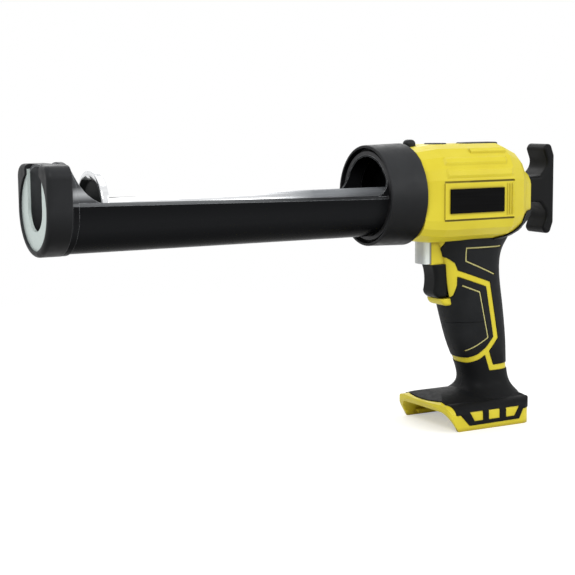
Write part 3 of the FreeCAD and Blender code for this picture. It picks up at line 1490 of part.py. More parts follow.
def make_housing(nose_holes):
    zones = housing_zones(0)
    wide_zones = housing_zones(S.line_gap)
    outer = grip_shape(0).fuse(foot_shape(0))
    middle = grip_shape(S.rubber_stand).fuse(foot_shape(S.rubber_stand))
    inner = grip_shape(S.rubber).fuse(foot_shape(S.rubber))
    barrel = barrel_shape(0, body_front, body_rear)
    panel_front = float(S.panel_setback)
    panel_rear = panel_front + float(S.panel_length)
    panel_top = float(S.panel_height) / 2 - float(S.panel_drop)
    panel_low = panel_top - float(S.panel_height)
    side = float(barrel_side + S.panel_stand)
    panel = box_shape((panel_front, -side, panel_low), (panel_rear, side, panel_top))
    step = float(S.groove)
    grooves = []
    for level in (panel_top, panel_low - step):
        for y in (-side - 2, side - step):
            low = (panel_front, y, level)
            grooves.append(box_shape(low, (panel_rear, y + 2 + step, level + step)))
    extras = [barrel, panel, column_shape(), chin_shape()]
    body = inner.fuse(middle.common(zones)).multiFuse(extras)

    room_front = body_front + S.front_wall
    room_rear = body_rear - S.rear_wall
    hollow = barrel_shape(S.barrel_wall, room_front, room_rear)
    grip_room = grip_shape(skin)
    floor = ground + S.dock_height + 3.0
    limit = float(S.axis_height) * 2
    grip_room = grip_room.common(box_shape((-limit, -limit, floor), (limit, limit, limit)))
    hollow = hollow.fuse(grip_room)
    rails = []
    for flank in (-1, 1):
        y = flank * (S.foot_width / 2 - S.dock_wall - S.rail_reach)
        far = flank * (S.foot_width / 2 - S.rubber - 0.4)
        low_y, high_y = sorted((float(y), float(far)))
        low = (S.foot_setback + 12.0, low_y, ground + 1.6)
        high = (S.foot_setback + S.foot_length - 5.0, high_y, low[2] + S.rail_height)
        rails.append(box_shape(low, high))

    ribs = []
    for level in (motor_base + 4.0, motor_base + 22.0, motor_base - 20.0, motor_base - 36.0):
        low = (-limit, -limit, level)
        ribs.append(box_shape(low, (limit, limit, level + 2.0)).common(hollow))
    for place in (frame_front - 3.0, frame_rear + 1.0):
        low = (place, -limit, -barrel_top)
        ribs.append(box_shape(low, (place + 3.0, limit, limit)).common(hollow))
    shelf = box_shape((body_front, -limit, latch_shelf - 2.0), (body_front + 18.0, limit, latch_shelf))
    ribs.append(shelf.common(hollow))
    dial_floor = dial_low - 0.4
    seat = Part.makeCylinder(S.dial_diameter / 2 + 2.5, 6.0, Vector(S.dial_setback, 0, dial_floor - 2.0))
    ribs.append(seat.common(hollow))
    sensor_rib = (S.dial_setback - 8.0, -limit, sensor_low - 2.0)
    ribs.append(box_shape(sensor_rib, (S.dial_setback + 8.0, limit, sensor_low)).common(hollow))
    bosses = []
    for x, z, _ in screw_places():
        post = Part.makeCylinder(S.boss_diameter / 2, 2 * limit, Vector(x, -limit, z), Vector(0, 1, 0))
        bosses.append(post.common(hollow))

    rooms = inner_rooms() + grooves + [nose_holes.Shape]
    cover_zone = outer.cut(inner).cut(wide_zones)
    tail = barrel_shape(-1.2, body_front, body_rear + 1.0).cut(barrel)
    tail_outline = [(94.0, -32.2), (100.0, -30.4), (106.0, -27.8), (110.2, -24.6), (113.2, -19.6),
                    (115.3, -15.6), (121.5, -13.8), (130.0, -13.8), (130.0, -42.0), (94.0, -42.0)]
    tail = tail.common(prism(tail_outline, -limit, limit)).cut(inner)
    cover = cover_zone.cut(extras + [dock_space()]).fuse(tail)
    cover = cover.cut(trigger_room())
    for flank, name in ((-1, "left"), (1, "right")):
        other_side = half_space(-flank)
        piece = body.cut(other_side).cut(hollow).cut(dock_space())
        piece = piece.multiFuse([item.cut(other_side) for item in rails + ribs + bosses])
        piece = piece.cut(rooms)
        rubber = cover.cut(other_side)
        for x, z, length in screw_places():
            hole = post_room(S.housing_screw / 2, 2 * limit, (x, -length, z), (0, 1, 0))
            well = post_room(S.housing_screw * 1.05, limit, (x, S.screw_seat, z), (0, 1, 0))
            piece = piece.cut([hole, well])
            if flank == 1:
                rubber = rubber.cut(well)
        node(solid(f"{name}_housing", piece.removeSplitter()), f"{name}_housing")
        node(solid(f"{name}_grip_cover", rubber), f"{name}_grip_cover")


def make_screws():
    screws = []
    for x, z, length in screw_places():
        seat = S.screw_seat
        head = Part.makeCylinder(S.housing_screw, 2.4, Vector(x, seat, z), Vector(0, 1, 0))
        shank = Part.makeCylinder(S.housing_screw / 2, seat + length, Vector(x, -length, z), Vector(0, 1, 0))
        screws.append(head.fuse(shank))
    node(solid("housing_screws", Part.makeCompound(screws)), "housing_screws")


def trigger_room():
    gap = S.running_gap
    half = S.trigger_width / 2 + gap
    low = (S.trigger_setback - 8.0, -half, trigger_low - gap)
    return box_shape(low, (switch_front, half, -S.trigger_top + gap))


def post_room(radius, length, at, along=(0, 0, 1)):
    return Part.makeCylinder(radius, length, Vector(*at), Vector(*along))


def drive_rooms():
    """Room for the motor, its gearbox, the gear frame, the large gear, the rod and its bushes."""
    motor = (S.motor_setback, 0, motor_base - cap_depth)
    tooth_tip = S.gear_module * (S.reduction_teeth / 2 + 1)
    along = (1, 0, 0)
    rooms = [
        post_room(S.motor_diameter / 2 + S.seat_fit, S.motor_length + cap_depth, motor),
        post_room(S.case_diameter / 2 + S.seat_fit, S.case_length, (S.motor_setback, 0, case_base)),
        box_shape((frame_front, frame_near, frame_base), (frame_rear, frame_far, frame_top)),
        post_room(tooth_tip + 1.0, frame_ceiling - frame_floor, (pinion_x, pinion_y, frame_floor)),
        post_room(rod_radius + 1.0, S.barrel_length, (body_front, 0, 0), along),
    ]
    for place, deep in ((body_front, S.front_wall + 2.0), (body_rear - S.rear_wall, S.rear_wall)):
        rooms.append(post_room(bush_radius + S.seat_fit, deep, (place, 0, 0), along))
    return rooms


def control_rooms():
    """Room for the switch, lamp, dial, release button and collar latch, with their travel."""
    gap = S.running_gap
    half = S.trigger_width / 2 + S.seat_fit
    switch_low = (switch_front - S.trigger_travel, -half, switch_top - S.switch_height - S.seat_fit)
    switch_high = (switch_front + S.switch_depth + S.seat_fit, half, switch_top + S.seat_fit)
    dial = S.dial_setback
    sensor = S.sensor_width / 2
    rooms = [
        trigger_room(),
        lens_shape(S.seat_fit),
        box_shape(*lamp_board_corners()),
        box_shape(switch_low, switch_high),
        post_room(S.dial_diameter / 2 + gap, 10.0, (dial, 0, dial_low - 0.4)),
        post_room(S.dial_stem / 2 + gap, 12.0, (dial, 0, sensor_low)),
    ]
    sensor_high = (dial + sensor, sensor, sensor_low + S.sensor_height)
    rooms.append(box_shape((dial - sensor, -sensor, sensor_low), sensor_high))
    half = S.button_width / 2
    front = S.button_setback
    pad_high = (button_rear + gap, half + gap, S.button_top + 9.0)
    rooms.append(box_shape((front - gap, -half - gap, button_low), pad_high))
    reach = S.lip_reach + 0.5
    lip_drop = button_low - S.lip_height - S.button_travel - 0.5
    lip_high = (button_rear + reach, half + reach, button_low + gap)
    rooms.append(box_shape((front - reach, -half - reach, lip_drop), lip_high))
    rooms.append(post_room(S.spring_room, button_low - frame_top, (button_middle, 0, frame_top)))

    half = S.latch_width / 2
    lip_drop = latch_low - S.lip_height - S.latch_travel - 0.5
    lip_rear = latch_front + S.latch_length + reach
    knob = (latch_front + half, 0, lip_drop)
    rooms.append(post_room(half + gap, S.latch_top + 5.0 - lip_drop, knob))
    lip_high = (lip_rear, half + reach, latch_low + gap)
    rooms.append(box_shape((lip_front - gap, -half - reach, lip_drop), lip_high))
    spring = ((lip_front + lip_rear - 0.5) / 2, 0, latch_shelf)
    rooms.append(post_room(S.spring_room, latch_low - latch_shelf, spring))
    return rooms


def electric_rooms():
    """Room for the board with its parts, the terminal block and the wires."""
    half = S.board_thickness / 2
    wide = S.block_width / 2
    parts_low = (board_middle - 6.2, -half - 4.2, board_low + 2.0)
    rooms = [
        box_shape((board_front, -half, board_low), (board_front + S.board_width, half, board_top)),
        box_shape(parts_low, (board_middle + 5.2, half + 6.4, board_top)),
        box_shape((block_front, -wide, block_low), (block_front + S.block_length, wide, block_top)),
    ]
    for place, length in wire_runs():
        rooms.append(post_room(S.wire_diameter / 2 + 0.2, length, place))
    return rooms


def inner_rooms():
    """Room in the housing for everything that it holds."""
    return drive_rooms() + control_rooms() + electric_rooms()


def make_badges():
    side = barrel_side + S.panel_stand
    middle = S.panel_setback + 4.0
    top = S.badge_height / 2 - S.panel_drop
    for flank, name in ((-1, "left"), (1, "right")):
        low_y, high_y = sorted((flank * float(side), flank * float(side + S.badge_thickness)))
        low = (middle, low_y, top - S.badge_height)
        plate = box(f"{name}_plate", low, (middle + S.badge_length, high_y, top))
        node(plate, f"{name}_plate")


make_rod()
make_plunger()
make_pull_handle()
make_cradle()
nose_tools = make_collar()
make_bushes()
make_drive()
make_planetary()
make_motor()
make_trigger()
make_lamp()
make_dial()
make_button()
make_latch()
make_electrics()
make_badges()
doc.recompute()
make_housing(nose_tools)
make_screws()
doc.recompute()

# Nothing is written unless every object and every piece is sound
for thing in doc.Objects:
    if "Invalid" in thing.State or "Error" in thing.State:
        raise RuntimeError(f"{thing.Label} failed: {thing.State}")
for piece in NODES:
    if piece.Shape.isNull() or not piece.Shape.isValid() or not piece.Shape.Solids:
        raise RuntimeError(f"{piece.Label} has no sound shape")
os.makedirs("parts", exist_ok=True)
for piece in NODES:
    piece.Shape.exportStep(f"parts/{piece.Label}.step")
print(len(NODES), "pieces")
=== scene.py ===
"""Looks for the cordless caulking tool: materials, ribs, springs, light, floor and the photograph's camera.

Metres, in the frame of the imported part: X along the push rod to the rear, Z up, origin on the rod's axis.
"""
import json
import math

import bpy
from mathutils import Matrix, Vector


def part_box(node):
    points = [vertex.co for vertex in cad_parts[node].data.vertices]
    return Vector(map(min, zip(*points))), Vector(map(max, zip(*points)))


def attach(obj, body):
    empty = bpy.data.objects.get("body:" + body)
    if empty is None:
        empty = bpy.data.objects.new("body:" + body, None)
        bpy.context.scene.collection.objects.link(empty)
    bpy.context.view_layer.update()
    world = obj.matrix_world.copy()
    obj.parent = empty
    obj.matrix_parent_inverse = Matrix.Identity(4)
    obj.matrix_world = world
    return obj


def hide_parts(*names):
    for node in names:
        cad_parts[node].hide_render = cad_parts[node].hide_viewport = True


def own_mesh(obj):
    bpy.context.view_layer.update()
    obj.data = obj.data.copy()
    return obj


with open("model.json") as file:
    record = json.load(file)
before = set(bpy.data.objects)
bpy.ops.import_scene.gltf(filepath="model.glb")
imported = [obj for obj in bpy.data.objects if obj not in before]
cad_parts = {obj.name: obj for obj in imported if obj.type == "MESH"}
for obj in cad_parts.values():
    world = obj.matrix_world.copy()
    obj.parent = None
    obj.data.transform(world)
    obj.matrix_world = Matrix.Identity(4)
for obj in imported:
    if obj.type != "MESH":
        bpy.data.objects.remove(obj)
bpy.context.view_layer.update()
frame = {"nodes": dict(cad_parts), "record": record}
NODES = frame["nodes"]
SLOTS = {subpart["node"]: subpart["material_slot"] for subpart in frame["record"]["subparts"]}
FLOOR_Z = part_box("left_housing")[0].z

# Camera fitted to the photograph, whose frame is square
PHOTO_WIDTH = 575
FOCAL_PIXELS = 1399.43
CAMERA_PLACE = Vector((-0.49941, -0.80137, 0.05958))
AZIMUTH = math.radians(-28.73)
ELEVATION = math.radians(7.34)
ROLL = math.radians(-0.49)
SENSOR = 36.0

# Colours of the shell and the grip, linear like all that follow
YELLOW = (0.775, 0.662, 0.044)
YELLOW_DEEP = (0.725, 0.600, 0.033)
# Pale edge wear, which also serves as painted highlights on the edges
YELLOW_WORN_LIT_EDGE = (0.87, 0.80, 0.22)
YELLOW_LINE = (0.80, 0.79, 0.40)
# Painted shade for each crease
YELLOW_CREASE_SHADE = (0.42, 0.32, 0.02)
# Painted shade for the side panel's grooves
GROOVE_SHADE = (0.15, 0.12, 0.012)
RUBBER_BLACK = (0.0120, 0.0130, 0.0140)
# Painted shade for the grip's lower part
RUBBER_LOW_SHADE = (0.0062, 0.0066, 0.0072)
# Mottled painted top light for the grip's upper part
RUBBER_TOP_LIGHT = (0.0180, 0.0190, 0.0205)
RUBBER_EDGE = (0.026, 0.027, 0.029)
PLASTIC_BLACK = (0.0028, 0.0030, 0.0033)
# Painted top light for upward faces of the black plastic
PLASTIC_TOP_LIGHT = (0.0340, 0.0353, 0.0375)
# Edge wear colour, brightened to be painted highlights on rims
PLASTIC_WORN_LIT_EDGE = (0.055, 0.057, 0.060)
# Dimmer painted top light, painted shade for the pull handle and trigger
SHADED_TOP_LIGHT = (0.0085, 0.0090, 0.0095)
PLATE_BLACK = (0.003, 0.003, 0.0032)
PLATE_HAIR = (0.0045, 0.0045, 0.0048)

# Colours of the cradle, the rod and the lamp
PAINT_BLACK = (0.0132, 0.0137, 0.0148)
# Painted shade for the tube's faces turned down
PAINT_SHADE = (0.0016, 0.0017, 0.0020)
# Painted highlight along the hem
PAINT_HEM_HIGHLIGHT = (0.150, 0.156, 0.162)
# Painted reflection on the front cheeks, with a brighter band
PAINT_CHEEK_SHEEN = (0.075, 0.078, 0.082)
PAINT_CHEEK_REFLECTION = (0.40, 0.41, 0.42)
# Painted light for the inside of the tube's mouth
PAINT_MOUTH_LIGHT = (0.170, 0.175, 0.182)
# Edge wear colour, bright enough to be painted highlights
PAINT_WORN_LIT_EDGE = (0.52, 0.54, 0.56)
FLANGE_GREY = (0.016, 0.016, 0.017)
FLANGE_MARK = (0.034, 0.034, 0.036)
PALE_METAL = (0.60, 0.69, 0.66)
PALE_SPANGLE = (0.67, 0.75, 0.72)
BRIGHT_STEEL = (0.86, 0.87, 0.88)
BRIGHT_GRAIN = (0.70, 0.71, 0.73)
# Dull grey for the rod near the gears, painted shade
ROD_SHADE = (0.28, 0.295, 0.31)
ROD_SHADE_GRAIN = (0.20, 0.21, 0.225)
# Painted shade for the lower part of the plunger's dish
DISH_SHADE = (0.012, 0.013, 0.013)
# Painted light for the lens's near side, painted shade for the rest
LENS_LIT = (0.92, 0.99, 0.98)
LENS_SHADE = (0.51, 0.54, 0.55)
# Painted shadow for the lens's rear edge
LENS_REAR_SHADOW = (0.13, 0.135, 0.14)
LENS_FLUTE = (0.93, 0.95, 0.98)

# Colours of the pieces inside
BLACKENED = (0.0060, 0.0062, 0.0066)
BLACKENED_SKIN = (0.0110, 0.0112, 0.0118)
STEEL = (0.42, 0.43, 0.44)
STEEL_GRAIN = (0.28, 0.28, 0.29)
ALUMINIUM = (0.56, 0.57, 0.58)
ALUMINIUM_SKIN = (0.40, 0.41, 0.42)
BRONZE = (0.56, 0.36, 0.13)
BRASS = (0.75, 0.55, 0.22)
MAGNET = (0.06, 0.06, 0.065)
MAGNET_SKIN = (0.035, 0.035, 0.038)
BOARD_GREEN = (0.015, 0.13, 0.05)
BOARD_RUN = (0.03, 0.20, 0.08)
BOARD_GAP = (0.01, 0.09, 0.035)
WIRE_RED = (0.36, 0.02, 0.02)
WIRE_LINE = (0.46, 0.05, 0.04)

# Stretch of a grain along the rod, and weights that leave the distance from the rod's axis
ALONG_ROD = (0.02, 1.0, 1.0)
FROM_AXIS = (0.0, 1.0, 1.0)


class Looks:
    """One node material, with short calls for the nodes that the materials here share."""

    def __init__(self, name):
        self.material = bpy.data.materials.new(name)
        self.material.use_nodes = True
        self.tree = self.material.node_tree
        self.shader = self.tree.nodes["Principled BSDF"]
        self.place = self.add("ShaderNodeTexCoord").outputs["Object"]

    def add(self, kind, **settings):
        made = self.tree.nodes.new(kind)
        for key, value in settings.items():
            setattr(made, key, value)
        return made

    def join(self, source, target):
        self.tree.links.new(source, target)

    def set(self, **sockets):
        """Constants on the shader's own sockets, with _ for the spaces in their names."""
        for key, value in sockets.items():
            socket = self.shader.inputs[key.replace("_", " ")]
            if isinstance(value, tuple):
                value = (*value, 1.0)
            socket.default_value = value
        return self

    def stretched(self, factors):
        mapping = self.add("ShaderNodeMapping")
        mapping.inputs["Scale"].default_value = factors
        self.join(self.place, mapping.inputs["Vector"])
        return mapping.outputs["Vector"]

    def reach(self, weights):
        """Distance from the origin, with each axis weighted."""
        made = self.add("ShaderNodeVectorMath", operation="LENGTH")
        self.join(self.stretched(weights), made.inputs[0])
        return made.outputs["Value"]

    def axes(self):
        made = self.add("ShaderNodeSeparateXYZ")
        self.join(self.place, made.inputs["Vector"])
        return made.outputs

    def noise(self, scale, detail, vector=None):
        made = self.add("ShaderNodeTexNoise")
        made.inputs["Scale"].default_value = scale
        made.inputs["Detail"].default_value = detail
        self.join(vector or self.place, made.inputs["Vector"])
        return made.outputs["Fac"]

    def cells(self, scale):
        made = self.add("ShaderNodeTexVoronoi")
        made.inputs["Scale"].default_value = scale
        self.join(self.place, made.inputs["Vector"])
        return made.outputs["Distance"]

    def ranged(self, value, low, high, from_low=0.0, from_high=1.0):
        """Maps from_low..from_high to low..high, held at both ends."""
        made = self.add("ShaderNodeMapRange")
        made.inputs["From Min"].default_value = from_low
        made.inputs["From Max"].default_value = from_high
        made.inputs["To Min"].default_value = low
        made.inputs["To Max"].default_value = high
        self.join(value, made.inputs["Value"])
        return made.outputs["Result"]

    def mottle(self, scale, detail, low, high, from_low=0.3, from_high=0.7):
        """Noise whose middle values are spread over low..high."""
        return self.ranged(self.noise(scale, detail), low, high, from_low, from_high)

    def math(self, operation, first, second=None):
        made = self.add("ShaderNodeMath", operation=operation)
        for socket, value in zip(made.inputs, (first, second)):
            if isinstance(value, (int, float)):
                socket.default_value = value
            elif value is not None:
                self.join(value, socket)
        return made.outputs["Value"]

    def product(self, first, *others):
        for other in others:
            first = self.math("MULTIPLY", first, other)
        return first

    def near(self, value, centre, inner, outer):
        """1 within the inner distance of the centre, falling to 0 at the outer one."""
        away = self.math("ABSOLUTE", self.math("SUBTRACT", value, centre))
        return self.ranged(away, 1.0, 0.0, inner, outer)

    def two_colours(self, value, first, second):
        made = self.add("ShaderNodeMix", data_type="RGBA")
        self.join(value, made.inputs["Factor"])
        for socket, colour in ((made.inputs[6], first), (made.inputs[7], second)):
            if isinstance(colour, tuple):
                socket.default_value = (*colour, 1.0)
            else:
                self.join(colour, socket)
        return made.outputs[2]

    def colour(self, output):
        self.join(output, self.shader.inputs["Base Color"])

    def rough(self, output):
        self.join(output, self.shader.inputs["Roughness"])

    def bump(self, *layers, round_edge=0.0):
        """Layers are (height output, strength, distance); the first lies under the others."""
        normal = None
        if round_edge:
            edge = self.add("ShaderNodeBevel", samples=4)
            edge.inputs["Radius"].default_value = round_edge
            normal = edge.outputs["Normal"]
        for height, strength, distance in layers:
            made = self.add("ShaderNodeBump")
            made.inputs["Strength"].default_value = strength
            made.inputs["Distance"].default_value = distance
            self.join(height, made.inputs["Height"])
            if normal is not None:
                self.join(normal, made.inputs["Normal"])
            normal = made.outputs["Normal"]
        self.join(normal, self.shader.inputs["Normal"])


def edge_wear(looks, radius):
    """1 on the object's outer edges, 0 on its faces, from how a rounded normal leaves the true one."""
    edge_likeness, face_likeness = 0.86, 0.985
    rounded = looks.add("ShaderNodeBevel", samples=4)
    rounded.inputs["Radius"].default_value = radius
    flat = looks.add("ShaderNodeNewGeometry").outputs["Normal"]
    likeness = looks.add("ShaderNodeVectorMath", operation="DOT_PRODUCT")
    looks.join(rounded.outputs["Normal"], likeness.inputs[0])
    looks.join(flat, likeness.inputs[1])
    return looks.ranged(likeness.outputs["Value"], 1.0, 0.0, edge_likeness, face_likeness)


def facing_up(looks, low, high):
    """0 on faces whose upward slope is below low, 1 above high."""
    split = looks.add("ShaderNodeSeparateXYZ")
    looks.join(looks.add("ShaderNodeNewGeometry").outputs["Normal"], split.inputs["Vector"])
    return looks.ranged(split.outputs["Z"], 0.0, 1.0, low, high)


def crease_shade(looks):
    """Painted shade: up to 0.9 where the surface is closed in by what stands beside it, 0 in the open."""
    hollow = looks.add("ShaderNodeAmbientOcclusion", samples=8)
    hollow.inputs["Distance"].default_value = 0.0035
    return looks.ranged(hollow.outputs["AO"], 0.90, 0.0, 0.60, 0.97)


def groove_shade(looks):
    """Painted shade in the two long grooves of the side panel, darker in the rear half of the upper one."""
    upper, lower = 0.00885, -0.01685
    upper_front, lower_front, rear_half = 0.55, 0.9, 0.95
    front, middle, rear = 0.0425, 0.0640, 0.1005
    half = 0.0008
    blend = 0.001
    axes = looks.axes()
    lines = []
    for height, front_half in ((upper, upper_front), (lower, lower_front)):
        line = looks.near(axes["Z"], height, 0.6 * half, half)
        strength = looks.ranged(axes["X"], front_half, rear_half, middle - blend, middle)
        lines.append(looks.product(line, strength))
    behind_front = looks.ranged(axes["X"], 0.0, 1.0, front, front + blend)
    before_rear = looks.ranged(axes["X"], 1.0, 0.0, rear - blend, rear)
    return looks.product(looks.math("MAXIMUM", *lines), looks.product(behind_front, before_rear))


def fine_lines(looks):
    """1 in the two fields of the grip that hold the fine pale lines.

    Each edge of a field is (x, z, limit): the field lies where x * X + z * Z is above the limit.
    """
    upper_field = (
        (1.0, 0.0, 0.0705),
        (0.0, -1.0, 0.0365),
        (0.428, 1.0, -0.0192),
    )
    lower_field = (
        (1.0, 0.0, 0.0690),
        (-0.383, -1.0, 0.0354),
        (-1.0, -0.237, -0.0695),
        (-0.576, 1.0, -0.1574),
    )
    fields = []
    for edges in (upper_field, lower_field):
        within = []
        for x_part, z_part, limit in edges:
            across = looks.add("ShaderNodeVectorMath", operation="DOT_PRODUCT")
            across.inputs[1].default_value = (x_part, 0.0, z_part)
            looks.join(looks.place, across.inputs[0])
            within.append(looks.math("GREATER_THAN", across.outputs["Value"], limit))
        fields.append(looks.product(*within))
    return looks.math("MAXIMUM", *fields)


def yellow_plastic():
    """Injection-moulded shell: spark-eroded grain, slow drift of colour, paler edge wear that also serves as
    painted highlights, fine lines, painted shade where the surface is closed in, and painted shade in the
    side panel's grooves.
    """
    looks = Looks("yellow_plastic").set(Specular_IOR_Level=0.22)
    tone = looks.two_colours(looks.mottle(38.0, 4.0, 0.0, 1.0, 0.32, 0.68), YELLOW, YELLOW_DEEP)
    # Edge wear, pale enough to be painted highlights as well
    worn_lit_edge = looks.product(edge_wear(looks, 0.0007), looks.mottle(420.0, 4.0, 0.0, 0.75, 0.4, 0.7))
    tone = looks.two_colours(worn_lit_edge, tone, YELLOW_WORN_LIT_EDGE)
    tone = looks.two_colours(fine_lines(looks), tone, YELLOW_LINE)
    # Painted shade where the surface is closed in
    tone = looks.two_colours(crease_shade(looks), tone, YELLOW_CREASE_SHADE)
    # Painted shade in the side panel's grooves
    looks.colour(looks.two_colours(groove_shade(looks), tone, GROOVE_SHADE))
    looks.rough(looks.mottle(160.0, 3.0, 0.34, 0.46))
    pebbles = (looks.cells(2600.0), 0.10, 0.00008)
    grain = (looks.noise(5200.0, 2.0), 0.10, 0.00006)
    looks.bump(pebbles, grain, round_edge=0.0006)
    return looks.material


def black_rubber():
    """Soft over-moulded grip: matt pebble grain, painted shade towards the bottom, mottled painted top light
    above it, and the crease across its front.
    """
    top_light_bottom, top_light_full = -0.118, -0.096
    crease_z = -0.0910
    crease_half = 0.0007
    crease_end = 0.0905
    crease_fade = 0.004
    looks = Looks("black_rubber").set(Specular_IOR_Level=0.08)
    axes = looks.axes()
    # Painted shade below, mottled painted top light above
    top_light = looks.ranged(axes["Z"], 0.0, 1.0, top_light_bottom, top_light_full)
    mottled_top_light = looks.product(looks.mottle(55.0, 6.0, 0.0, 1.0, 0.40, 0.75), top_light)
    shaded_base = looks.two_colours(top_light, RUBBER_LOW_SHADE, RUBBER_BLACK)
    base = looks.two_colours(mottled_top_light, shaded_base, RUBBER_TOP_LIGHT)
    looks.colour(looks.two_colours(edge_wear(looks, 0.0006), base, RUBBER_EDGE))
    looks.rough(looks.mottle(300.0, 3.0, 0.46, 0.60))
    groove = looks.ranged(looks.near(axes["Z"], crease_z, 0.0, crease_half), 1.0, 0.0)
    uncreased = looks.ranged(axes["X"], 0.0, 1.0, crease_end - crease_fade, crease_end)
    crease = (looks.math("MAXIMUM", groove, uncreased), 1.0, 0.0006)
    pebbles = (looks.cells(1500.0), 0.16, 0.00012)
    grain = (looks.noise(3600.0, 2.0), 0.12, 0.00006)
    looks.bump(crease, pebbles, grain, round_edge=0.0005)
    return looks.material


def black_plastic(name, plain_tone, top_light_colour):
    """Glass-filled nylon of the collar, cap, handle and controls: satin grain, edge wear brightened into
    painted highlights, and mottled painted top light on upward faces.
    """
    looks = Looks(name).set(Specular_IOR_Level=0.09)
    drift = looks.mottle(46.0, 5.0, 0.75, 1.0, 0.35, 0.7)
    # Mottled painted top light on upward faces
    mottled_top_light = looks.product(facing_up(looks, -0.60, 0.30), drift)
    base = looks.two_colours(mottled_top_light, plain_tone, top_light_colour)
    # Edge wear, brightened as painted highlights
    looks.colour(looks.two_colours(edge_wear(looks, 0.0008), base, PLASTIC_WORN_LIT_EDGE))
    looks.rough(looks.mottle(220.0, 3.0, 0.36, 0.50))
    pebbles = (looks.cells(2100.0), 0.12, 0.0001)
    grain = (looks.noise(4400.0, 2.0), 0.10, 0.00006)
    looks.bump(pebbles, grain, round_edge=0.0006)
    return looks.material


def black_plate():
    """Bare plate on the barrel's side: smooth dark film with a light hairline finish."""
    looks = Looks("black_plate").set(Specular_IOR_Level=0.03)
    hair = looks.noise(900.0, 2.0, looks.stretched((0.03, 1.0, 1.0)))
    looks.colour(looks.two_colours(looks.ranged(hair, 0.0, 1.0, 0.35, 0.65), PLATE_BLACK, PLATE_HAIR))
    looks.rough(looks.ranged(hair, 0.30, 0.42, 0.35, 0.65))
    looks.bump((hair, 0.05, 0.00005), round_edge=0.0003)
    return looks.material


def black_paint():
    """Painted tube: black with a faint orange peel, painted shade on its lower and upper faces, edge wear
    brightened into painted highlights, a painted highlight along the hem, painted reflections on the front
    cheeks and painted light inside the mouth.
    """
    hem_slope = 0.0188
    hem_height = -0.0001
    hem_inner, hem_outer = 0.0009, 0.0011
    hem_bright_end, hem_faint_start = -0.115, -0.050
    cheek_rear = -0.1920
    cheek_fade = 0.004
    cheek_bottom, cheek_full = 0.0040, 0.0055
    shine_height = 0.0101
    shine_inner, shine_outer = 0.0004, 0.0040
    mouth_bottom, mouth_top = -0.016, 0.014
    mid_wall = 0.0268
    wall_blend = 0.0002
    looks = Looks("black_paint").set(Specular_IOR_Level=0.012)
    axes = looks.axes()
    outer = looks.ranged(looks.reach(FROM_AXIS), 0.0, 1.0, mid_wall - wall_blend, mid_wall + wall_blend)
    ahead = looks.ranged(axes["X"], 1.0, 0.0, cheek_rear - cheek_fade, cheek_rear)

    # Painted shade: darkest on faces turned down, a little darker on faces turned up
    upper_side = looks.ranged(facing_up(looks, -0.30, 0.0), 1.0, 0.60)
    side = looks.product(facing_up(looks, -0.85, -0.45), upper_side)
    base = looks.two_colours(side, PAINT_SHADE, PAINT_BLACK)

    # Painted highlight along the hem, fading towards the collar
    height = looks.math("ADD", axes["Z"], looks.product(axes["X"], hem_slope))
    faded = looks.ranged(axes["X"], 1.0, 0.15, hem_bright_end, hem_faint_start)
    hem = looks.product(looks.near(height, hem_height, hem_inner, hem_outer), faded)
    base = looks.two_colours(looks.product(outer, hem), base, PAINT_HEM_HIGHLIGHT)

    # Painted reflection on the front cheeks, brightest in a band
    shine = looks.near(axes["Z"], shine_height, shine_inner, shine_outer)
    raised = looks.product(outer, looks.ranged(axes["Z"], 0.0, 1.0, cheek_bottom, cheek_full))
    cheek = looks.two_colours(shine, PAINT_CHEEK_SHEEN, PAINT_CHEEK_REFLECTION)
    base = looks.two_colours(looks.product(ahead, raised), base, cheek)

    # Painted light inside the tube's mouth, lighter upwards
    lit = looks.ranged(axes["Z"], 0.0, 1.0, mouth_bottom, mouth_top)
    mouth = looks.product(looks.ranged(outer, 1.0, 0.0), lit)
    base = looks.two_colours(looks.product(ahead, mouth), base, PAINT_MOUTH_LIGHT)

    # Edge wear, brightened as painted highlights
    worn_lit_edge = looks.product(edge_wear(looks, 0.0006), looks.mottle(260.0, 4.0, 0.55, 1.0, 0.35, 0.6))
    looks.colour(looks.two_colours(worn_lit_edge, base, PAINT_WORN_LIT_EDGE))
    looks.rough(looks.mottle(120.0, 4.0, 0.20, 0.30))
    looks.bump((looks.noise(520.0, 2.0), 0.05, 0.0002), round_edge=0.0005)
    return looks.material


def grain_shade(looks, grain):
    """Grain that comes and goes in clouds."""
    clouds = looks.mottle(70.0, 4.0, 0.3, 1.0, 0.35, 0.65)
    return looks.product(looks.ranged(grain, 0.0, 1.0, 0.3, 0.7), clouds)


def metal(name, colour, darker, rough, stretch, grain_scale):
    """Machined or drawn metal with a grain along its stretched direction."""
    looks = Looks(name).set(Metallic=1.0)
    grain = looks.noise(grain_scale, 3.0, looks.stretched(stretch))
    looks.colour(looks.two_colours(grain_shade(looks, grain), colour, darker))
    looks.rough(looks.ranged(grain, *rough, 0.3, 0.7))
    looks.bump((grain, 0.06, 0.00005), round_edge=0.0003)
    return looks.material


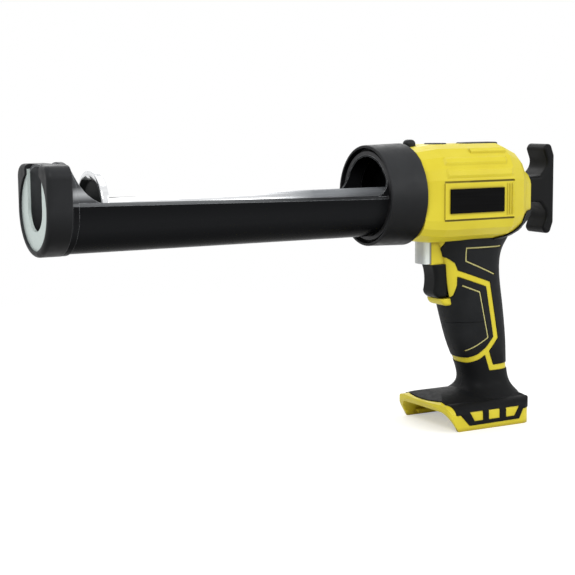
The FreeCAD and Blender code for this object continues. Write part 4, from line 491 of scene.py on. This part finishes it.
def bright_steel():
    """Plated rod and plunger: drawn grain, a dull grey stretch near the gears as painted shade, and painted
    shade low in the dish.
    """
    rod_shade_start, rod_shade_end = -0.088, -0.042
    dish_radius = 0.0205
    dish_blend = 0.0004
    dish_rear = -0.1915
    dish_full, dish_top = 0.0165, 0.0185
    looks = Looks("bright_steel").set(Specular_IOR_Level=0.05)
    axes = looks.axes()
    grain = looks.noise(900.0, 3.0, looks.stretched(ALONG_ROD))
    shade = grain_shade(looks, grain)
    plain_tone = looks.two_colours(shade, BRIGHT_STEEL, BRIGHT_GRAIN)
    shaded_rod = looks.two_colours(shade, ROD_SHADE, ROD_SHADE_GRAIN)
    # Painted shade: the rod turns dull grey towards the gears, inside the collar
    behind = looks.ranged(axes["X"], 0.0, 1.0, rod_shade_start, rod_shade_end)
    tone = looks.two_colours(behind, plain_tone, shaded_rod)
    # Painted shade low in the plunger's dish: near black below, fading out towards the top
    inside = looks.ranged(looks.reach(FROM_AXIS), 1.0, 0.0, dish_radius, dish_radius + dish_blend)
    ahead = looks.ranged(axes["X"], 1.0, 0.0, dish_rear - 0.5 * dish_blend, dish_rear)
    low_part = looks.ranged(axes["Z"], 1.0, 0.1, dish_full, dish_top)
    pad = looks.product(inside, ahead, low_part)
    looks.colour(looks.two_colours(pad, tone, DISH_SHADE))
    dull = looks.math("MAXIMUM", pad, behind)
    looks.join(looks.ranged(dull, 1.0, 0.1), looks.shader.inputs["Metallic"])
    polish = looks.ranged(grain, 0.06, 0.16, 0.3, 0.7)
    looks.rough(looks.math("MAXIMUM", polish, looks.ranged(dull, 0.0, 0.45)))
    looks.bump((grain, 0.03, 0.00005), round_edge=0.0003)
    return looks.material


def cast_metal(name, colour, darker):
    """Cast or sintered metal: pebbled skin, uneven tone."""
    looks = Looks(name).set(Metallic=0.9)
    looks.colour(looks.two_colours(looks.noise(180.0, 5.0), colour, darker))
    looks.rough(looks.mottle(400.0, 3.0, 0.42, 0.62))
    looks.bump((looks.cells(1300.0), 0.25, 0.00015), round_edge=0.0004)
    return looks.material


def pale_metal():
    """Front plate: zinc-plated steel with a soft spangle."""
    looks = Looks("pale_metal").set(Metallic=0.35, IOR=1.5)
    looks.colour(looks.two_colours(looks.cells(900.0), PALE_METAL, PALE_SPANGLE))
    looks.rough(looks.mottle(700.0, 4.0, 0.38, 0.55))
    looks.bump((looks.noise(2400.0, 3.0), 0.08, 0.00006), round_edge=0.0003)
    return looks.material


def grey_flange():
    """Turned ring behind the collar: dark phosphate with turning marks."""
    full_height = 1.0 / 30.0
    looks = Looks("grey_flange").set(Metallic=0.6)
    marks = looks.noise(3000.0, 1.0, looks.stretched((1.0, 0.05, 0.05)))
    height = looks.math("ABSOLUTE", looks.axes()["Z"])
    tone = looks.product(marks, looks.ranged(height, 0.8, 1.0, 0.0, full_height))
    looks.colour(looks.two_colours(tone, FLANGE_GREY, FLANGE_MARK))
    looks.rough(looks.ranged(marks, 0.36, 0.50, 0.3, 0.7))
    looks.bump((marks, 0.06, 0.00005), round_edge=0.0004)
    return looks.material


def lens():
    """Lamp window: clear acrylic with fine moulded flutes, painted light on its near side, painted shade on
    the rest and a painted shadow along its rear edge.
    """
    flutes_per_metre = 5200.0
    side_start, side_end = -0.0066, -0.0040
    shade_depth, shade_full = 0.0016, 0.0008
    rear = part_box("lamp_lens")[1].x
    looks = Looks("lens").set(IOR=1.49, Transmission_Weight=0.12, Coat_Weight=0.4, Coat_Roughness=0.05)
    axes = looks.axes()
    flutes = looks.math("SINE", looks.product(axes["Y"], flutes_per_metre))
    # Painted light on the near side, painted shade elsewhere
    side = looks.ranged(axes["Y"], 0.0, 1.0, side_start, side_end)
    tone = looks.two_colours(side, LENS_LIT, LENS_SHADE)
    # Painted shadow along the rear edge
    shade = looks.ranged(axes["X"], 0.0, 1.0, rear - shade_depth, rear - shade_full)
    tone = looks.two_colours(shade, tone, LENS_REAR_SHADOW)
    looks.colour(looks.two_colours(looks.ranged(flutes, 0.0, 0.16, -1.0, 1.0), tone, LENS_FLUTE))
    looks.rough(looks.mottle(240.0, 3.0, 0.10, 0.18))
    looks.bump((flutes, 0.04, 0.00008), round_edge=0.0004)
    return looks.material


def circuit_board():
    """Green board: solder mask over a grid of copper runs."""
    looks = Looks("circuit_board").set(IOR=1.5)
    runs = looks.add("ShaderNodeTexBrick")
    runs.inputs["Scale"].default_value = 260.0
    for socket, colour in (("Color1", BOARD_GREEN), ("Color2", BOARD_RUN), ("Mortar", BOARD_GAP)):
        runs.inputs[socket].default_value = (*colour, 1.0)
    looks.join(looks.place, runs.inputs["Vector"])
    looks.colour(runs.outputs["Color"])
    looks.rough(looks.mottle(500.0, 2.0, 0.28, 0.42))
    looks.bump((runs.outputs["Fac"], 0.10, 0.0001), round_edge=0.0002)
    return looks.material


def wire_cover():
    """Soft insulation with faint extrusion lines."""
    looks = Looks("wire_cover").set(IOR=1.45)
    lines = looks.noise(1600.0, 2.0, looks.stretched((1.0, 1.0, 0.04)))
    looks.colour(looks.two_colours(lines, WIRE_RED, WIRE_LINE))
    looks.rough(looks.ranged(lines, 0.40, 0.55, 0.3, 0.7))
    looks.bump((lines, 0.08, 0.00005))
    return looks.material


def make_materials():
    """One material for each slot of the part."""
    across = (1.0, 1.0, 0.03)
    return {
        "yellow_plastic": yellow_plastic(),
        "black_rubber": black_rubber(),
        "black_plate": black_plate(),
        "black_plastic": black_plastic("black_plastic", PLASTIC_BLACK, PLASTIC_TOP_LIGHT),
        "black_paint": black_paint(),
        "grey_flange": grey_flange(),
        "pale_metal": pale_metal(),
        "bright_steel": bright_steel(),
        "steel": metal("steel", STEEL, STEEL_GRAIN, (0.28, 0.42), across, 800.0),
        "cast_aluminium": cast_metal("cast_aluminium", ALUMINIUM, ALUMINIUM_SKIN),
        "bronze": metal("bronze", BRONZE, BRASS, (0.26, 0.40), ALONG_ROD, 700.0),
        "magnet": cast_metal("magnet", MAGNET, MAGNET_SKIN),
        "lens": lens(),
        "circuit_board": circuit_board(),
        "wire_cover": wire_cover(),
    }


def dress_nodes(materials):
    """Gives each node its slot's material, apart from the pull handle and trigger, which get a copy with
    dimmer painted top light as painted shade, and what is blackened.
    """
    # The pull handle and trigger get painted shade: a copy of the black plastic with dimmer painted top
    # light
    shaded_copy = black_plastic("shaded_plastic", PLASTIC_BLACK, SHADED_TOP_LIGHT)
    blackened = cast_metal("blackened_metal", BLACKENED, BLACKENED_SKIN)
    own = dict.fromkeys(("pull_handle", "trigger"), shaded_copy)
    own.update(dict.fromkeys(("nose_ring", "nose_screws", "plunger_screw"), blackened))
    for node, slot in SLOTS.items():
        mesh = NODES[node].data
        mesh.materials.clear()
        mesh.materials.append(own.get(node, materials[slot]))


def add_object(name, data):
    made = bpy.data.objects.new(name, data)
    bpy.context.scene.collection.objects.link(made)
    return made


def stations(low, high, ramp, spacing):
    """Places along a rib: its two ends, the tops of its end slopes and even steps between."""
    inner = high - low - 2 * ramp
    count = max(1, math.ceil(inner / spacing))
    return [low, *(low + ramp + inner * step / count for step in range(count + 1)), high]


def add_rib(points, faces, node, side, rib):
    """Adds one closed rib: its face stands off the housing's skin and its back lies inside the wall."""
    x_low, x_high, z_low, z_high, height, ramp = rib
    back_depth = 0.0008
    edge_height = -0.0001
    start_y = side * 0.1
    inward = Vector((0.0, -side, 0.0))
    columns = stations(x_low, x_high, ramp, 0.004)
    rows = stations(z_low, z_high, ramp, 0.0012)
    first = len(points)
    wide, tall = len(columns), len(rows)
    backs = []
    for i, x in enumerate(columns):
        for j, z in enumerate(rows):
            found, place, normal, _ = node.ray_cast(Vector((x, start_y, z)), inward)
            if not found:
                raise RuntimeError(f"no skin under the rib at {x:.4f}, {z:.4f}")
            edge = i in (0, wide - 1) or j in (0, tall - 1)
            points.append(place + normal * (edge_height if edge else height))
            backs.append(place - normal * back_depth)
    points.extend(backs)
    layer = wide * tall
    turn = 1 if side < 0 else -1

    def face(*corners):
        faces.append([first + corner for corner in corners[::turn]])

    for i in range(wide - 1):
        for j in range(tall - 1):
            a = i * tall + j
            face(a, a + tall, a + tall + 1, a + 1)
            face(layer + a, layer + a + 1, layer + a + tall + 1, layer + a + tall)
    rim = [i * tall for i in range(wide)]
    rim += [(wide - 1) * tall + j for j in range(1, tall)]
    rim += [i * tall + tall - 1 for i in range(wide - 2, -1, -1)]
    rim += range(tall - 2, 0, -1)
    for a, b in zip(rim, rim[1:] + rim[:1]):
        face(a, layer + a, layer + b, b)


def make_ribs(material):
    """Shallow moulded ribs on the barrel's sides: two long ones, a rear pad and three beside the plate.

    Each rib is (x from, x to, z from, z to, height, width of its slopes). On the right the long ribs start
    behind a screw's well.
    """
    upright_half = 0.0006
    rear_pad = (0.0690, 0.0990, 0.0275, 0.0303, 0.0012, 0.0006)
    uprights = [
        (x - upright_half, x + upright_half, -0.0148, 0.0070, 0.0006, 0.0004)
        for x in (0.0942, 0.0963, 0.0984)
    ]
    for name, side, front in (("left_housing", -1, 0.0440), ("right_housing", 1, 0.0570)):
        lower = (front, 0.1000, 0.0112, 0.0182, 0.0011, 0.0019)
        upper = (front, 0.0970, 0.0198, 0.0258, 0.0010, 0.0017)
        points, faces = [], []
        for rib in (lower, upper, rear_pad, *uprights):
            add_rib(points, faces, NODES[name], side, rib)
        mesh = bpy.data.meshes.new(name.replace("housing", "barrel_ribs"))
        mesh.from_pydata(points, [], faces)
        mesh.materials.append(material)
        piece = add_object(mesh.name, mesh)
        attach(piece, "housing")


def make_springs():
    """The three coil springs as pieces of their own, copied from the part and attached to the housing, with
    the part's own springs hidden.
    """
    pairs = (
        ("trigger_spring", "trigger_pull"),
        ("release_spring", "release_press"),
        ("latch_spring", "latch_press"),
    )
    for node, name in pairs:
        piece = add_object(f"{node}_coil", NODES[node].data.copy())
        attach(piece, "housing")
        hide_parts(node)
        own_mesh(piece)


def shown_to_eye(tree):
    """1 for camera, glossy and transmission rays, which see the plain white background."""
    rays = tree.nodes.new("ShaderNodeLightPath")
    total = rays.outputs["Is Camera Ray"]
    for name in ("Is Glossy Ray", "Is Transmission Ray"):
        either = tree.nodes.new("ShaderNodeMath")
        either.operation = "MAXIMUM"
        tree.links.new(total, either.inputs[0])
        tree.links.new(rays.outputs[name], either.inputs[1])
        total = either.outputs["Value"]
    return total


def make_world():
    """White to the eye, and a dimmer even light on the tool."""
    ambient = 0.50
    world = bpy.data.worlds.new("studio")
    bpy.context.scene.world = world
    world.use_nodes = True
    tree = world.node_tree
    background = tree.nodes["Background"]
    background.inputs["Color"].default_value = (1.0, 1.0, 1.0, 1.0)
    strength = tree.nodes.new("ShaderNodeMapRange")
    strength.inputs["To Min"].default_value = ambient
    strength.inputs["To Max"].default_value = 1.0
    tree.links.new(shown_to_eye(tree), strength.inputs["Value"])
    tree.links.new(strength.outputs["Result"], background.inputs["Strength"])


def make_floor():
    """A pale floor that keeps the shadow near the tool and fades into the white background."""
    half = 1.6
    fade_start, fade_end = 0.30, 0.75
    glow = 0.42
    corners = [(x * half, y * half, FLOOR_Z) for x, y in ((-1, -1), (1, -1), (1, 1), (-1, 1))]
    mesh = bpy.data.meshes.new("floor")
    mesh.from_pydata(corners, [], [(0, 1, 2, 3)])
    floor = add_object("floor", mesh)
    looks = Looks("floor").set(Base_Color=(0.80, 0.80, 0.80), Roughness=0.9, Specular_IOR_Level=0.0)
    looks.set(Emission_Color=(1.0, 1.0, 1.0))
    looks.join(looks.product(shown_to_eye(looks.tree), glow), looks.shader.inputs["Emission Strength"])
    cover = looks.ranged(looks.reach((1.0, 1.0, 0.0)), 1.0, 0.0, fade_start, fade_end)
    looks.join(cover, looks.shader.inputs["Alpha"])
    mesh.materials.append(looks.material)


def make_lamps():
    """Four area lamps, as (name, place, width and height, power), all aimed at the tool's middle."""
    middle = Vector((-0.03, 0.0, -0.02))
    lamps = (
        ("key", (-0.75, -0.95, 0.95), (0.6, 0.6), 9.0),
        ("fill", (0.75, -0.95, 0.40), (0.7, 0.7), 4.0),
        ("top", (0.0, 0.10, 1.20), (1.2, 0.8), 2.6),
        ("rear", (0.30, 1.10, 0.70), (1.0, 0.8), 5.0),
    )
    for name, place, size, power in lamps:
        data = bpy.data.lights.new(name, "AREA")
        data.shape = "RECTANGLE"
        data.size, data.size_y = size
        data.energy = power
        lamp = add_object(name, data)
        lamp.location = place
        lamp.rotation_euler = (middle - Vector(place)).to_track_quat("-Z", "Y").to_euler()


def make_camera():
    level = math.cos(ELEVATION)
    back = Vector((math.sin(AZIMUTH) * level, -math.cos(AZIMUTH) * level, math.sin(ELEVATION)))
    right = (-back).cross(Vector((0, 0, 1))).normalized()
    up = right.cross(-back)
    turned_right = right * math.cos(ROLL) + up * math.sin(ROLL)
    turned_up = up * math.cos(ROLL) - right * math.sin(ROLL)
    data = bpy.data.cameras.new("camera")
    data.sensor_width = SENSOR
    data.lens = FOCAL_PIXELS * SENSOR / PHOTO_WIDTH
    camera = add_object("camera", data)
    turn = Matrix((turned_right, turned_up, back)).transposed()
    camera.matrix_world = Matrix.Translation(CAMERA_PLACE) @ turn.to_4x4()
    bpy.context.scene.camera = camera


materials = make_materials()
dress_nodes(materials)
make_ribs(materials["yellow_plastic"])
make_springs()
make_world()
make_floor()
make_lamps()
make_camera()
bpy.context.scene.view_settings.view_transform = "Standard"
